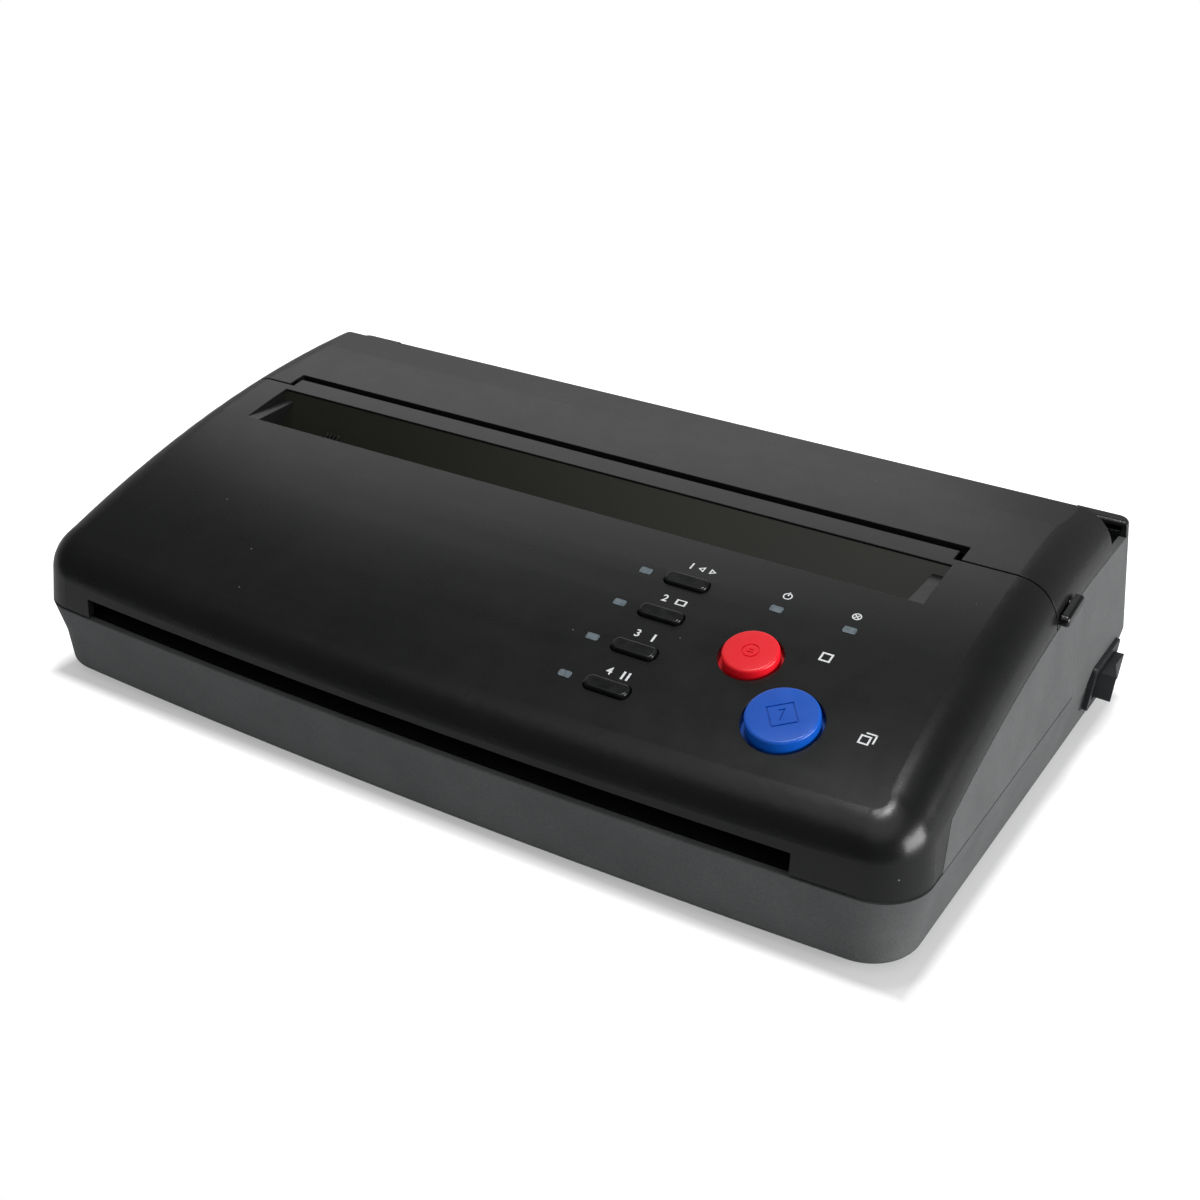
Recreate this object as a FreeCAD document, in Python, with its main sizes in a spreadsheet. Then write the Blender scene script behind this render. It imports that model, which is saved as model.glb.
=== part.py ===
import FreeCAD, Part
import math
import os
import re
from FreeCAD import Placement, Rotation, Vector

# Desk-top thermal stencil copier, in millimetres
# X runs to the right of the operator, Y to the back, Z up
# The origin is on the desk, in the middle of the overall outline

SIZES = {
    # outer shell
    "body_width": 283.6,
    "body_depth": 162.3,
    "front_bow": 3.85,
    "plan_corner": 14.0,
    "rear_corner": 3.5,
    "bottom_round": 2.4,
    "foot_height": 2.0,
    "crease_height": 13.6,
    "rim_height": 23.5,
    "foot_inset": 2.6,
    "crease_inset": 1.8,
    "side_draft": 5.5,
    "nose_height": 38.85,
    "crown_height": 61.67,
    "tail_height": 65.5,
    "edge_round": 12.0,
    "shell_margin": 14.5,
    "wall": 2.2,
    "seam_drop": 13.0,
    "seam_gap": 0.3,
    "parting_gap": 0.7,
    "rim_gap": 0.9,
    "panel_gap": 0.35,
    "cover_end_round": 1.2,
    "overrun": 20.0,
    # openings of the shell
    "slot_height": 6.7,
    "tongue_thickness": 3.0,
    "tongue_gap": 2.0,
    "well_rear_drop": 0.7,
    "well_front_drop": 16.5,
    "well_wall": 2.0,
    "window_thickness": 2.0,
    "left_shelf_width": 4.6,
    "right_shelf_width": 4.3,
    "exit_height": 10.0,
    # rear hinge of the cover
    "hinge_radius": 3.5,
    "ear_width": 9.0,
    "ear_gap": 0.5,
    "ear_thickness": 5.0,
    "lug_width": 2.4,
    "pin_radius": 1.5,
    "pin_clearance": 0.05,
    "ledge_thickness": 2.0,
    # bar along the top of the rear wall
    "bar_lip": 1.6,
    "bar_depth": 3.6,
    "bar_round": 1.4,
    "bar_end": 19.0,
    "bar_step": 0.7,
    # control panel
    "row_pitch": 13.97,
    "key_length": 12.6,
    "key_width": 4.3,
    "key_round": 1.6,
    "key_rise": 1.2,
    "stop_v": 2.4,
    "stop_radius": 7.45,
    "stop_rise": 2.2,
    "start_v": -14.2,
    "start_radius": 9.4,
    "start_rise": 2.5,
    "button_edge": 0.7,
    "button_gap": 0.4,
    "button_lip": 1.2,
    "round_gap": 1.1,
    "round_lip": 2.0,
    "lip_thickness": 1.0,
    "lip_gap": 0.3,
    "button_travel": 1.0,
    "stem_radius": 1.6,
    "status_v": 20.8,
    "lamp_length": 3.6,
    "lamp_width": 2.2,
    "lamp_round": 0.6,
    "lamp_rise": 0.15,
    "lamp_gap": 0.1,
    "board_drop": 11.0,
    "board_thickness": 1.6,
    "board_half": 30.0,
    "board_post_radius": 2.5,
    "board_post_inset": 3.4,
    "switch_side": 6.0,
    "switch_body": 2.6,
    "switch_stud": 0.9,
    "switch_stud_radius": 1.5,
    # frame plates and paper path
    "plate_thickness": 1.2,
    "plate_front_drop": 10.30,
    "plate_crown_drop": 6.50,
    "plate_rear_drop": 12.20,
    "guide_height": 22.3,
    "guide_thickness": 1.2,
    "guide_gap": 0.3,
    "scan_half": 8.0,
    "scan_height": 11.0,
    "glass_thickness": 1.5,
    "glass_half": 6.0,
    "paper_gap": 0.3,
    "feed_radius": 6.0,
    "feed_shaft_radius": 2.5,
    "platen_height": 40.0,
    "platen_radius": 8.0,
    "platen_shaft_radius": 3.0,
    "shaft_clearance": 0.05,
    "bush_wall": 2.0,
    "bush_flange": 1.5,
    "bush_flange_thickness": 1.0,
    "chute_plate_thickness": 1.4,
    "chute_drop": 8.73,
    # print head
    "head_thickness": 3.0,
    "head_low": 31.0,
    "head_high": 49.0,
    "carrier_thickness": 1.6,
    "head_pivot_height": 28.0,
    "head_pivot_radius": 1.6,
    "head_tilt": 5.0,
    "stop_bar_thickness": 1.5,
    "stop_bar_low": 37.0,
    "stop_bar_high": 50.0,
    "spring_high": 31.0,
    "spring_radius": 2.4,
    "spring_bore": 1.5,
    "spring_offset": 4.0,
    "tail_thickness": 1.6,
    # drive
    "gear_module": 0.8,
    "gear_width": 4.0,
    "gear_backlash": 0.3,
    "pressure_angle": 20.0,
    "platen_teeth": 36.0,
    "feed_teeth": 30.0,
    "upper_idler_teeth": 24.0,
    "lower_idler_teeth": 20.0,
    "pinion_teeth": 12.0,
    "motor_height": 21.0,
    "motor_radius": 15.0,
    "motor_length": 12.0,
    "motor_bore_depth": 9.6,
    "motor_shaft_depth": 8.4,
    "motor_shaft_radius": 1.5,
    "bracket_half": 18.0,
    "bracket_top": 39.0,
    "post_radius": 2.0,
    # latch on the right of the cover
    "latch_shaft_radius": 1.2,
    "latch_thickness": 2.4,
    "latch_width": 3.4,
    "latch_tilt": 9.0,
    "latch_rise": 2.5,
    "latch_front": 9.0,
    "latch_rear": 3.8,
    "latch_arm_thickness": 2.0,
    "catch_radius": 1.5,
    "catch_drop": 3.5,
    "hook_gap": 0.3,
    "hook_thickness": 1.6,
    "hook_reach": 2.4,
    # power switch, inlet and electronics
    "switch_height": 16.6,
    "bezel_length": 22.0,
    "bezel_width": 14.5,
    "bezel_thickness": 1.6,
    "bezel_border": 1.6,
    "switch_depth": 16.0,
    "switch_seat": 0.6,
    "switch_wall": 1.1,
    "rocker_angle": 9.0,
    "rocker_crest": 6.0,
    "rocker_reach": 6.9,
    "rocker_dip": 1.3,
    "rocker_gap": 0.3,
    "rocker_pin_radius": 1.2,
    "inlet_height": 13.0,
    "inlet_width": 20.0,
    "inlet_tall": 11.0,
    "inlet_depth": 15.0,
    "inlet_flange": 2.0,
    "inlet_flange_thickness": 1.0,
    "inlet_recess": 11.0,
    "inlet_pin_radius": 1.1,
    "inlet_pin_pitch": 8.6,
    "floor_thickness": 2.2,
    "standoff_height": 2.8,
    "standoff_radius": 3.0,
    "standoff_inset": 5.0,
    "chip_height": 2.0,
    "chip_side": 14.0,
    "transformer_width": 26.0,
    "transformer_depth": 22.0,
    "transformer_height": 12.6,
    "capacitor_radius": 5.0,
    "capacitor_height": 12.0,
    # feet and screws
    "foot_radius": 6.0,
    "screw_radius": 1.5,
    "screw_head_radius": 3.0,
    "screw_head_height": 2.0,
    "screw_tip_height": 34.0,
    "boss_radius": 4.4,
    "boss_seat": 4.0,
    "boss_gap": 0.2,
    # paper sensor
    "flag_height": 19.0,
    "flag_radius": 1.0,
    "flag_reach": 7.5,
    "flag_width": 3.0,
    "flag_thickness": 1.6,
    "flag_block": 3.0,
    "comb_width": 8.0,
    "comb_pitch": 1.43,
    "comb_rail": 0.9,
    "comb_rise": 1.0,
}

# Places across the machine, in from its left side
FROM_LEFT = {
    "slot_left": 23.8,
    "tongue_left": 24.3,
    "well_left": 23.5,
    "exit_left": 28.3,
    "left_plate_x": 20.3,
    "roller_left": 32.3,
    "shaft_left": 17.3,
    "inlet_x": 47.3,
    "main_board_left": 38.3,
    "main_board_right": 128.3,
    "comb_left": 44.8,
    "flag_x": 136.3,
}

# Places across the machine, in from its right side
FROM_RIGHT = {
    "slot_right": 30.5,
    "tongue_right": 32.6,
    "well_right": 31.7,
    "exit_right": 30.3,
    "right_plate_x": 28.5,
    "roller_right": 35.3,
    "gear_start_x": 26.3,
    "bracket_x": 21.3,
    "lamp_x": 104.1,
    "key_x": 91.5,
    "stop_x": 62.8,
    "start_x": 45.6,
    "power_lamp_x": 64.9,
    "error_lamp_x": 44.2,
    "board_left": 111.3,
    "board_right": 29.3,
    "latch_arm_x": 9.7,
    "catch_left": 11.7,
    "power_board_left": 133.3,
    "power_board_right": 37.3,
    "screw_x": 14.3,
    "foot_x": 29.3,
    "ear_left": 22.3,
}

# Places behind the middle of the front
FROM_FRONT = {
    "skirt_foot_y": 22.15,
    "skirt_head_y": 27.65,
    "panel_y": 40.25,
    "main_board_front": 9.15,
    "main_board_rear": 39.15,
    "screw_front_y": 17.15,
    "screw_rear_y": 47.15,
    "parting_y": 99.05,
    "tongue_rear_y": 103.45,
    "chute_rear_y": 106.45,
    "well_front_y": 77.45,
    "well_rear_y": 96.35,
    "wedge_end_y": 114.15,
    "latch_y": 109.15,
}

# Places ahead of the back
FROM_REAR = {
    "cover_end_y": 18.35,
    "hinge_y": 9.15,
    "ledge_front_y": 12.15,
    "bar_front_y": 5.15,
    "plate_front_y": 116.15,
    "plate_rear_y": 17.15,
    "plate_neck_y": 21.65,
    "plate_crown_y": 61.15,
    "scan_y": 101.15,
    "platen_y": 39.15,
    "head_pivot_y": 24.65,
    "spring_y": 19.65,
    "motor_y": 71.15,
    "switch_y": 19.95,
    "power_board_front": 77.15,
    "power_board_rear": 21.15,
    "flag_y": 117.65,
    "foot_y": 23.15,
}

# Heights of the rear pieces, down from the arch's tail
UNDER_TAIL = {
    "hinge_height": 12.5,
    "ledge_height": 18.9,
    "rear_wall_height": 12.4,
    "bar_top": 7.8,
    "cover_end_height": 0.58,
}

half_width = SIZES["body_width"] / 2
half_depth = SIZES["body_depth"] / 2
PLACES = {name: inset - half_width for name, inset in FROM_LEFT.items()}
PLACES.update({name: half_width - inset for name, inset in FROM_RIGHT.items()})
PLACES.update({name: inset - half_depth for name, inset in FROM_FRONT.items()})
PLACES.update({name: half_depth - inset for name, inset in FROM_REAR.items()})
PLACES.update({name: SIZES["tail_height"] - drop for name, drop in UNDER_TAIL.items()})

doc = FreeCAD.newDocument("StencilCopier")
sheet = doc.addObject("Spreadsheet::Sheet", "Sizes")
cells = {**SIZES, **PLACES}
for row, (alias, value) in enumerate(cells.items(), 1):
    sheet.set("A%d" % row, alias)
    sheet.set("B%d" % row, "%.4f" % value)
    sheet.setAlias("B%d" % row, alias)
doc.recompute()


class Dimensions:
    """Reads the sheet's cells under their aliases."""

    def __getattr__(self, alias):
        return float(sheet.get(alias))


size = Dimensions()
SHELL_TOP = size.tail_height + size.shell_margin
WORD = re.compile(r"\b(?!sin\b)[a-z][a-z_]*[a-z]\b")
nodes = []


# Document objects bound to the sheet

def bind(item, prop, formula):
    item.setExpression(prop, WORD.sub(lambda word: "Sizes." + word.group(0), formula))


def keep(item):
    nodes.append(item)
    return item


def seat(item, at):
    for axis, formula in zip("xyz", at):
        bind(item, "Placement.Base." + axis, formula)


def block(name, at, extent):
    box = doc.addObject("Part::Box", name)
    for prop, formula in zip(("Length", "Width", "Height"), extent):
        bind(box, prop, formula)
    seat(box, at)
    return box


def rod(name, at, radius, length, axis=Vector(1, 0, 0)):
    cylinder = doc.addObject("Part::Cylinder", name)
    bind(cylinder, "Radius", radius)
    bind(cylinder, "Height", length)
    cylinder.Placement = Placement(Vector(), Rotation(Vector(0, 0, 1), axis))
    seat(cylinder, at)
    return cylinder


def upright(name, at, radius, length):
    return rod(name, at, radius, length, Vector(0, 0, 1))


def joined(name, items):
    union = doc.addObject("Part::MultiFuse", name)
    union.Shapes = items
    return union


def cut(name, base, *tools):
    tool = tools[0] if len(tools) == 1 else joined(name + "_tools", list(tools))
    result = doc.addObject("Part::Cut", name)
    result.Base = base
    result.Tool = tool
    return result


def group(name, items):
    bundle = doc.addObject("Part::Compound", name)
    bundle.Links = items
    return bundle


def feature(name, shape, placement=None):
    item = doc.addObject("Part::Feature", name)
    item.Shape = shape
    if placement:
        item.Placement = placement
    return item


# Outlines and prisms

def prism(points, left, right):
    """Solid across X from a closed outline of (y, z) points."""
    corners = [Vector(left, y, z) for y, z in points]
    face = Part.Face(Part.makePolygon(corners + corners[:1]))
    return face.extrude(Vector(right - left, 0, 0))


def slab(left, right, front, rear, low, high):
    return Part.makeBox(right - left, rear - front, high - low, Vector(left, front, low))


def tube(x, y, z, radius, length):
    return Part.makeCylinder(radius, length, Vector(x, y, z), Vector(1, 0, 0))


def rounded(length, width, corner, low, high):
    """Upright block with rounded corners, centred on the origin."""
    box = Part.makeBox(length, width, high - low, Vector(-length / 2, -width / 2, low))
    edges = [e for e in box.Edges if abs(e.tangentAt(e.FirstParameter).z) > 0.9]
    return box.makeFillet(corner, edges)


# Side profile of the covers: one arc through nose, crown and tail

def profile_circle(inset=0.0):
    half = size.body_depth / 2
    return Part.Arc(Vector(0, -half, size.nose_height - inset),
                    Vector(0, 0, size.crown_height - inset),
                    Vector(0, half, size.tail_height - inset))


def top_at(y, inset=0.0):
    ring = profile_circle(inset).toShape().Curve
    centre = ring.Center
    return centre.z + math.sqrt(ring.Radius ** 2 - (y - centre.y) ** 2)


def slope_at(y):
    centre = profile_circle().toShape().Curve.Center
    return math.atan2(centre.y - y, top_at(y) - centre.z)


def seam_at(y, gap=0.0):
    return top_at(y) - size.seam_drop - gap


def side_at(z):
    """Outer face of the drafted side walls at a height above the rim."""
    return size.body_width / 2 - (z - size.rim_height) * math.tan(math.radians(size.side_draft))


def latch_height():
    return seam_at(size.latch_y) + size.latch_rise


def catch_height():
    return seam_at(size.latch_y) - size.catch_drop


def profile_edge(front, rear, drop):
    middle = (front + rear) / 2
    return Part.Arc(Vector(0, front, top_at(front) - drop), Vector(0, middle, top_at(middle) - drop),
                    Vector(0, rear, top_at(rear) - drop)).toShape()


def chain(points):
    return [Part.LineSegment(Vector(0, *a), Vector(0, *b)).toShape() for a, b in zip(points, points[1:])]


def across(edges, left, right):
    """Solid across X between two planes from a closed chain of YZ edges."""
    face = Part.Face(Part.Wire(edges))
    face.translate(Vector(left, 0, 0))
    return face.extrude(Vector(right - left, 0, 0))


# Plan outline: bowed front, rounded front corners, square or rounded rear corners

def plan(height, inset, rear_corner=0.0, lean=0.0):
    half = size.body_width / 2 - inset - lean
    depth = size.body_depth / 2
    corner = size.plan_corner
    bow_radius = ((size.body_width / 2) ** 2 + size.front_bow ** 2) / (2 * size.front_bow)
    bow_y = -depth + bow_radius
    bow_radius -= inset + lean
    corner_y = bow_y - math.sqrt((bow_radius - corner) ** 2 - (half - corner) ** 2)
    out = Vector(half - corner, corner_y - bow_y, 0).normalize()
    meet = Vector(0, bow_y, 0) + out * bow_radius
    turn = math.atan2(out.y, out.x) / 2
    mid_x = half - corner + corner * math.cos(turn)
    mid_y = corner_y + corner * math.sin(turn)
    rear = depth - inset

    def at(x, y):
        return Vector(x, y, height)

    edges = [Part.Arc(at(-meet.x, meet.y), at(0, bow_y - bow_radius), at(meet.x, meet.y)),
             Part.Arc(at(meet.x, meet.y), at(mid_x, mid_y), at(half, corner_y))]
    if rear_corner:
        near = rear_corner * (1 - math.sqrt(0.5))
        edges += [Part.LineSegment(at(half, corner_y), at(half, rear - rear_corner)),
                  Part.Arc(at(half, rear - rear_corner), at(half - near, rear - near),
                           at(half - rear_corner, rear)),
                  Part.LineSegment(at(half - rear_corner, rear), at(-half + rear_corner, rear)),
                  Part.Arc(at(-half + rear_corner, rear), at(-half + near, rear - near),
                           at(-half, rear - rear_corner)),
                  Part.LineSegment(at(-half, rear - rear_corner), at(-half, corner_y))]
    else:
        edges += [Part.LineSegment(at(half, corner_y), at(half, rear)),
                  Part.LineSegment(at(half, rear), at(-half, rear)),
                  Part.LineSegment(at(-half, rear), at(-half, corner_y))]
    edges.append(Part.Arc(at(-half, corner_y), at(-mid_x, mid_y), at(-meet.x, meet.y)))
    return Part.Wire([edge.toShape() for edge in edges])


def upper(inset, rear_corner=0.0):
    """Drafted block from the rim to above the covers."""
    lean = (SHELL_TOP - size.rim_height) * math.tan(math.radians(size.side_draft))
    low = plan(size.rim_height, inset, rear_corner)
    high = plan(SHELL_TOP, inset, rear_corner, lean)
    return Part.makeLoft([low, high], True, True)


def dome(inset):
    """Upper block under the arched top, its long edges rounded over."""
    half = size.body_depth / 2
    low = size.rim_height - size.overrun
    outline = [profile_circle(inset).toShape()]
    outline += chain([(half, size.tail_height - inset), (half, low), (-half, low),
                      (-half, size.nose_height - inset)])
    side = size.body_width / 2 + size.overrun
    arched = upper(inset).common(across(outline, -side, side)).Solids[0]
    crown = max(arched.Faces, key=lambda face: face.CenterOfMass.z)
    edges = [edge for edge in crown.Edges if edge.CenterOfMass.y < half - size.edge_round / 2]
    return arched.makeFillet(size.edge_round - inset, edges)


def tray_block(inset):
    """Tray below the rim: its sides and front step in to the crease and the foot."""
    floor = size.foot_height + (size.floor_thickness if inset else 0.0)
    rise = (size.crease_height - floor) / (size.crease_height - size.foot_height)
    low_lean = size.crease_inset + (size.foot_inset - size.crease_inset) * rise
    low = plan(floor, inset, size.rear_corner, low_lean)
    crease = plan(size.crease_height, inset, size.rear_corner, size.crease_inset)
    rim = plan(size.rim_height, inset, size.rear_corner)
    foot = Part.makeLoft([low, crease], True, True)
    edges = [edge for edge in foot.Edges if edge.BoundBox.ZMax < floor + size.wall]
    foot = foot.makeFillet(size.bottom_round - inset, edges)
    return foot.fuse(Part.makeLoft([crease, rim], True, True))


WIDE = size.body_width / 2 + size.overrun
DEEP = size.body_depth / 2 + size.overrun
dome_outer = dome(0.0)
dome_inner = dome(size.wall)
skin = dome_outer.cut(dome_inner)
side_skin = upper(0.0, size.rear_corner).cut(upper(size.wall, size.rear_corner))
inside = dome(size.wall / 2)


# Control panel frame: its plane lies along the panel's chord, its origin on the surface

PANEL_SLOPE = slope_at(size.panel_y)
PANEL = Placement(Vector(0, size.panel_y, top_at(size.panel_y)),
                  Rotation(Vector(1, 0, 0), math.degrees(PANEL_SLOPE)))


def panel_rise(v):
    """Height of the arched surface over the panel plane, at v along the slope."""
    ring = profile_circle().toShape().Curve
    return math.sqrt(ring.Radius ** 2 - v ** 2) - ring.Radius


def row_v(row):
    return (1.5 - row) * size.row_pitch


LAMPS = [(size.lamp_x, row_v(row)) for row in range(4)]
LAMPS += [(size.power_lamp_x, size.status_v), (size.error_lamp_x, size.status_v)]


def cap_shape(x, v, low, high, grow, radius=0.0):
    """Round or long cap outline, grown all round, in the panel frame."""
    if radius:
        cap = Part.makeCylinder(radius + grow, high - low, Vector(0, 0, low))
    else:
        cap = rounded(size.key_length + 2 * grow, size.key_width + 2 * grow, size.key_round + grow, low, high)
    cap.translate(Vector(x, v, 0))
    return cap


def button(x, v, rise, radius=0.0):
    surface = panel_rise(v)
    lip_width = size.round_lip if radius else size.button_lip
    reach = (radius or size.key_width / 2) + lip_width
    lip_top = panel_rise(abs(v) + reach) - size.wall - size.lip_gap
    lip_low = lip_top - size.lip_thickness
    cap = cap_shape(x, v, lip_low, surface + rise, 0.0, radius)
    top_edges = [edge for edge in cap.Edges if edge.BoundBox.ZMin > surface + rise - size.key_rise / 100]
    cap = cap.makeFillet(size.button_edge, top_edges)
    lip = cap_shape(x, v, lip_low, lip_top, lip_width, radius)
    stem_low = size.switch_body + size.switch_stud + size.button_travel + size.lip_gap / 3 - size.board_drop
    stem = Part.makeCylinder(size.stem_radius, lip_top - stem_low, Vector(x, v, stem_low))
    return cap.fuse([lip, stem]).removeSplitter()


def lamp(x, v, grow, low, high):
    shape = rounded(size.lamp_length + 2 * grow, size.lamp_width + 2 * grow, size.lamp_round + grow,
                    low, high)
    shape.translate(Vector(x, v, 0))
    return shape


BUTTONS = [("mode_key_%d" % (row + 1), size.key_x, row_v(row), size.key_rise, 0.0) for row in range(4)]
BUTTONS += [("stop_button", size.stop_x, size.stop_v, size.stop_rise, size.stop_radius),
            ("start_button", size.start_x, size.start_v, size.start_rise, size.start_radius)]


# Base tray with its tall rear walls

def seam_outline(front, rear, gap, foot=None):
    """Closed outline under the side seam, from front to rear, down past the rim."""
    low = size.rim_height + gap
    front_low = foot if foot is not None else front
    edges = chain([(rear, seam_at(rear, gap)), (rear, low), (front_low, low), (front, seam_at(front, gap))])
    return edges + [profile_edge(front, rear, size.seam_drop + gap)]


def base_tray():
    tray = tray_block(0.0).cut(tray_block(size.wall))
    half = size.body_depth / 2
    ledge_top = size.ledge_height + size.ledge_thickness
    low = size.rim_height
    end = seam_at(size.cover_end_y)
    tall = across(seam_outline(size.wedge_end_y, size.cover_end_y, 0.0), -WIDE, WIDE)
    rear = prism([(size.cover_end_y, low), (half, low), (half, size.rear_wall_height),
                  (size.ledge_front_y, size.rear_wall_height), (size.cover_end_y, end)], -WIDE, WIDE)
    walls = side_skin.common(tall.fuse(rear))
    ledge = slab(-WIDE, WIDE, size.ledge_front_y, half, size.ledge_height, ledge_top)
    shape = tray.fuse([walls, ledge.common(upper(size.wall / 2, size.rear_corner))])
    for start in hinge_lug_starts():
        lug = tube(start, size.hinge_y, size.hinge_height, size.hinge_radius, size.lug_width)
        foot = slab(start, start + size.lug_width, size.hinge_y - size.hinge_radius,
                    size.hinge_y + size.hinge_radius, ledge_top, size.hinge_height)
        shape = shape.fuse(lug.fuse(foot))
    boss_height = size.rim_height - size.foot_height - size.boss_gap
    for x, y in SCREWS:
        shape = shape.fuse(Part.makeCylinder(size.boss_radius, boss_height, Vector(x, y, size.foot_height)))
    standoff_height = size.floor_thickness + size.standoff_height
    for x, y in STANDOFFS:
        standoff = Part.makeCylinder(size.standoff_radius, standoff_height, Vector(x, y, size.foot_height))
        shape = shape.fuse(standoff)
    shape = shape.fuse(switch_local(switch_pad()))
    for x, y in SCREWS:
        shape = shape.cut(Part.makeCylinder(size.screw_radius + size.pin_clearance, size.rim_height,
                                            Vector(x, y, 0)))
        shape = shape.cut(Part.makeCylinder(size.screw_head_radius + size.boss_gap,
                                            size.foot_height + size.boss_seat, Vector(x, y, 0)))
    exit_low = size.guide_height + size.guide_thickness
    shape = shape.cut(slab(size.exit_left, size.exit_right, half - size.overrun / 2, DEEP,
                           exit_low, exit_low + size.exit_height))
    shape = shape.cut(inlet_hole())
    shape = shape.cut(switch_local(switch_clearance()))
    for side in (-1, 1):
        shape = shape.cut(hinge_pin(side, size.pin_clearance))
    return shape.removeSplitter()


def hinge_lug_starts():
    """Left faces of the four upright lugs beside the cover's two hinge rings."""
    inner = size.ear_left - size.ear_gap - size.lug_width
    outer = size.ear_left + size.ear_width + size.ear_gap
    return [inner, outer, -inner - size.lug_width, -outer - size.lug_width]


def hinge_pin(side, grow=0.0):
    """Pin through one ring and its two lugs."""
    start = size.ear_left - size.ear_gap - size.lug_width - grow
    length = size.ear_width + 2 * (size.ear_gap + size.lug_width + grow)
    pin = tube(start, size.hinge_y, size.hinge_height, size.pin_radius + grow, length)
    return pin if side > 0 else pin.mirror(Vector(), Vector(1, 0, 0))


def rear_bar():
    """Channel that caps the rear wall, open to the front, its upper edges rounded."""
    half = size.body_depth / 2
    band = slab(-WIDE, WIDE, size.bar_front_y, half, size.rear_wall_height, size.bar_top)
    bar = band.common(upper(0.0, size.rear_corner))
    edges = [edge for edge in bar.Edges if edge.BoundBox.ZMin > size.bar_top - size.bar_lip / 2]
    bar = bar.makeFillet(size.bar_round, edges)
    channel = slab(-WIDE, WIDE, size.bar_front_y - size.overrun, size.bar_front_y + size.bar_depth,
                   size.rear_wall_height + size.bar_lip, size.bar_top - size.bar_lip)
    bar = bar.cut(channel.common(upper(size.bar_lip)))
    reach = size.body_width / 2 - size.bar_end
    middle = slab(-reach, reach, size.bar_front_y - size.overrun, DEEP, size.bar_top - size.bar_step, SHELL_TOP)
    return bar.cut(middle).removeSplitter()


SCREWS = [(side * size.screw_x, y) for side in (-1, 1) for y in (size.screw_front_y, size.screw_rear_y)]


def corners_of(left, right, front, rear, inset):
    return [(x, y) for x in (left + inset, right - inset) for y in (front + inset, rear - inset)]


STANDOFFS = corners_of(size.main_board_left, size.main_board_right, size.main_board_front,
                       size.main_board_rear, size.standoff_inset)
STANDOFFS += corners_of(size.power_board_left, size.power_board_right, size.power_board_front,
                        size.power_board_rear, size.standoff_inset)


def inlet_hole():
    """Hole for the inlet's body and the shallow seat of its flange."""
    half = size.body_depth / 2
    hole = inlet_block(half - size.overrun, DEEP, 0.0)
    return hole.fuse(inlet_block(half - size.inlet_flange_thickness, DEEP, size.inlet_flange))


def inlet_block(front, rear, border):
    wide = size.inlet_width / 2 + border
    tall = size.inlet_tall / 2 + border / 2
    return slab(size.inlet_x - wide, size.inlet_x + wide, front, rear,
                size.inlet_height - tall, size.inlet_height + tall)


# Power switch, drawn flat and leaned to the tray's side wall

def switch_local(shape):
    lean = math.degrees(math.atan2(size.crease_inset, size.rim_height - size.crease_height)) / 2
    fold_share = 0.9
    wall_x = size.body_width / 2 - size.crease_inset * fold_share
    shape.Placement = Placement(Vector(wall_x, size.switch_y, size.switch_height),
                                Rotation(Vector(0, 1, 0), lean))
    return shape


def switch_box(deep, proud, border, grow=0.0):
    """Block along the switch's axis, narrower than the bezel by a border all round."""
    length = size.bezel_length - 2 * border + 2 * grow
    width = size.bezel_width - 2 * border + 2 * grow
    return Part.makeBox(deep + proud, length, width, Vector(-deep, -length / 2, -width / 2))


def switch_pad():
    """Flat seat for the bezel, let into the folded side wall."""
    return switch_box(2 * size.wall, size.switch_seat, 0.0)


def switch_clearance():
    """Room for the switch's body, and the wall taken back to the seat."""
    body = switch_box(size.overrun, size.overrun, size.bezel_border, size.rocker_gap / 3)
    face = switch_box(0.0, size.overrun, 0.0)
    face.translate(Vector(size.switch_seat, 0, 0))
    return body.fuse(face)


def switch_housing():
    bezel = switch_box(0.0, size.bezel_thickness, 0.0)
    edges = [edge for edge in bezel.Edges if edge.BoundBox.XLength > size.bezel_thickness / 2]
    bezel = bezel.makeFillet(size.bezel_thickness, edges)
    bezel.translate(Vector(size.switch_seat, 0, 0))
    body = switch_box(size.switch_depth, size.switch_seat, size.bezel_border).fuse(bezel)
    pocket = switch_box(size.switch_depth / 2, size.overrun, size.bezel_border + size.switch_wall)
    pin = Part.makeCylinder(size.rocker_pin_radius + size.pin_clearance, rocker_pin_length(),
                            Vector(0, 0, -rocker_pin_length() / 2))
    return body.cut(pocket).cut(pin).removeSplitter()


def rocker_pin_length():
    return size.bezel_width - 2 * size.bezel_border - size.switch_wall / 2


def rocker():
    """Paddle hinged on an upright pin, hollowed along its length, front half standing out."""
    border = size.bezel_border + size.switch_wall + size.rocker_gap
    half = size.bezel_length / 2 - border
    width = size.bezel_width - 2 * border
    crest = size.rocker_crest
    tip = size.rocker_reach
    low = -size.bezel_border
    foot_share = 0.8
    foot = half * foot_share
    points = [Vector(low, -foot, 0), Vector(crest, -tip, 0), Vector(crest - size.rocker_dip, 0, 0),
              Vector(crest, tip, 0), Vector(low, foot, 0), Vector(2 * low, 0, 0)]
    face = Part.Face(Part.makePolygon(points + points[:1]))
    face.translate(Vector(0, 0, -width / 2))
    paddle = face.extrude(Vector(0, 0, width))
    paddle.rotate(Vector(), Vector(0, 0, 1), size.rocker_angle)
    length = rocker_pin_length() - size.pin_clearance
    pin = Part.makeCylinder(size.rocker_pin_radius, length, Vector(0, 0, -length / 2))
    return paddle.fuse(pin).removeSplitter()


# Front cover: arched shell, feed slot, window well, control holes and posts

def well_line(y, drop=0.0):
    """Height of the window's upper face at y."""
    rear = top_at(size.well_rear_y) - size.well_rear_drop
    front = rear - size.well_front_drop
    share = (y - size.well_front_y) / (size.well_rear_y - size.well_front_y)
    return front + (rear - front) * share - drop


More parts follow.
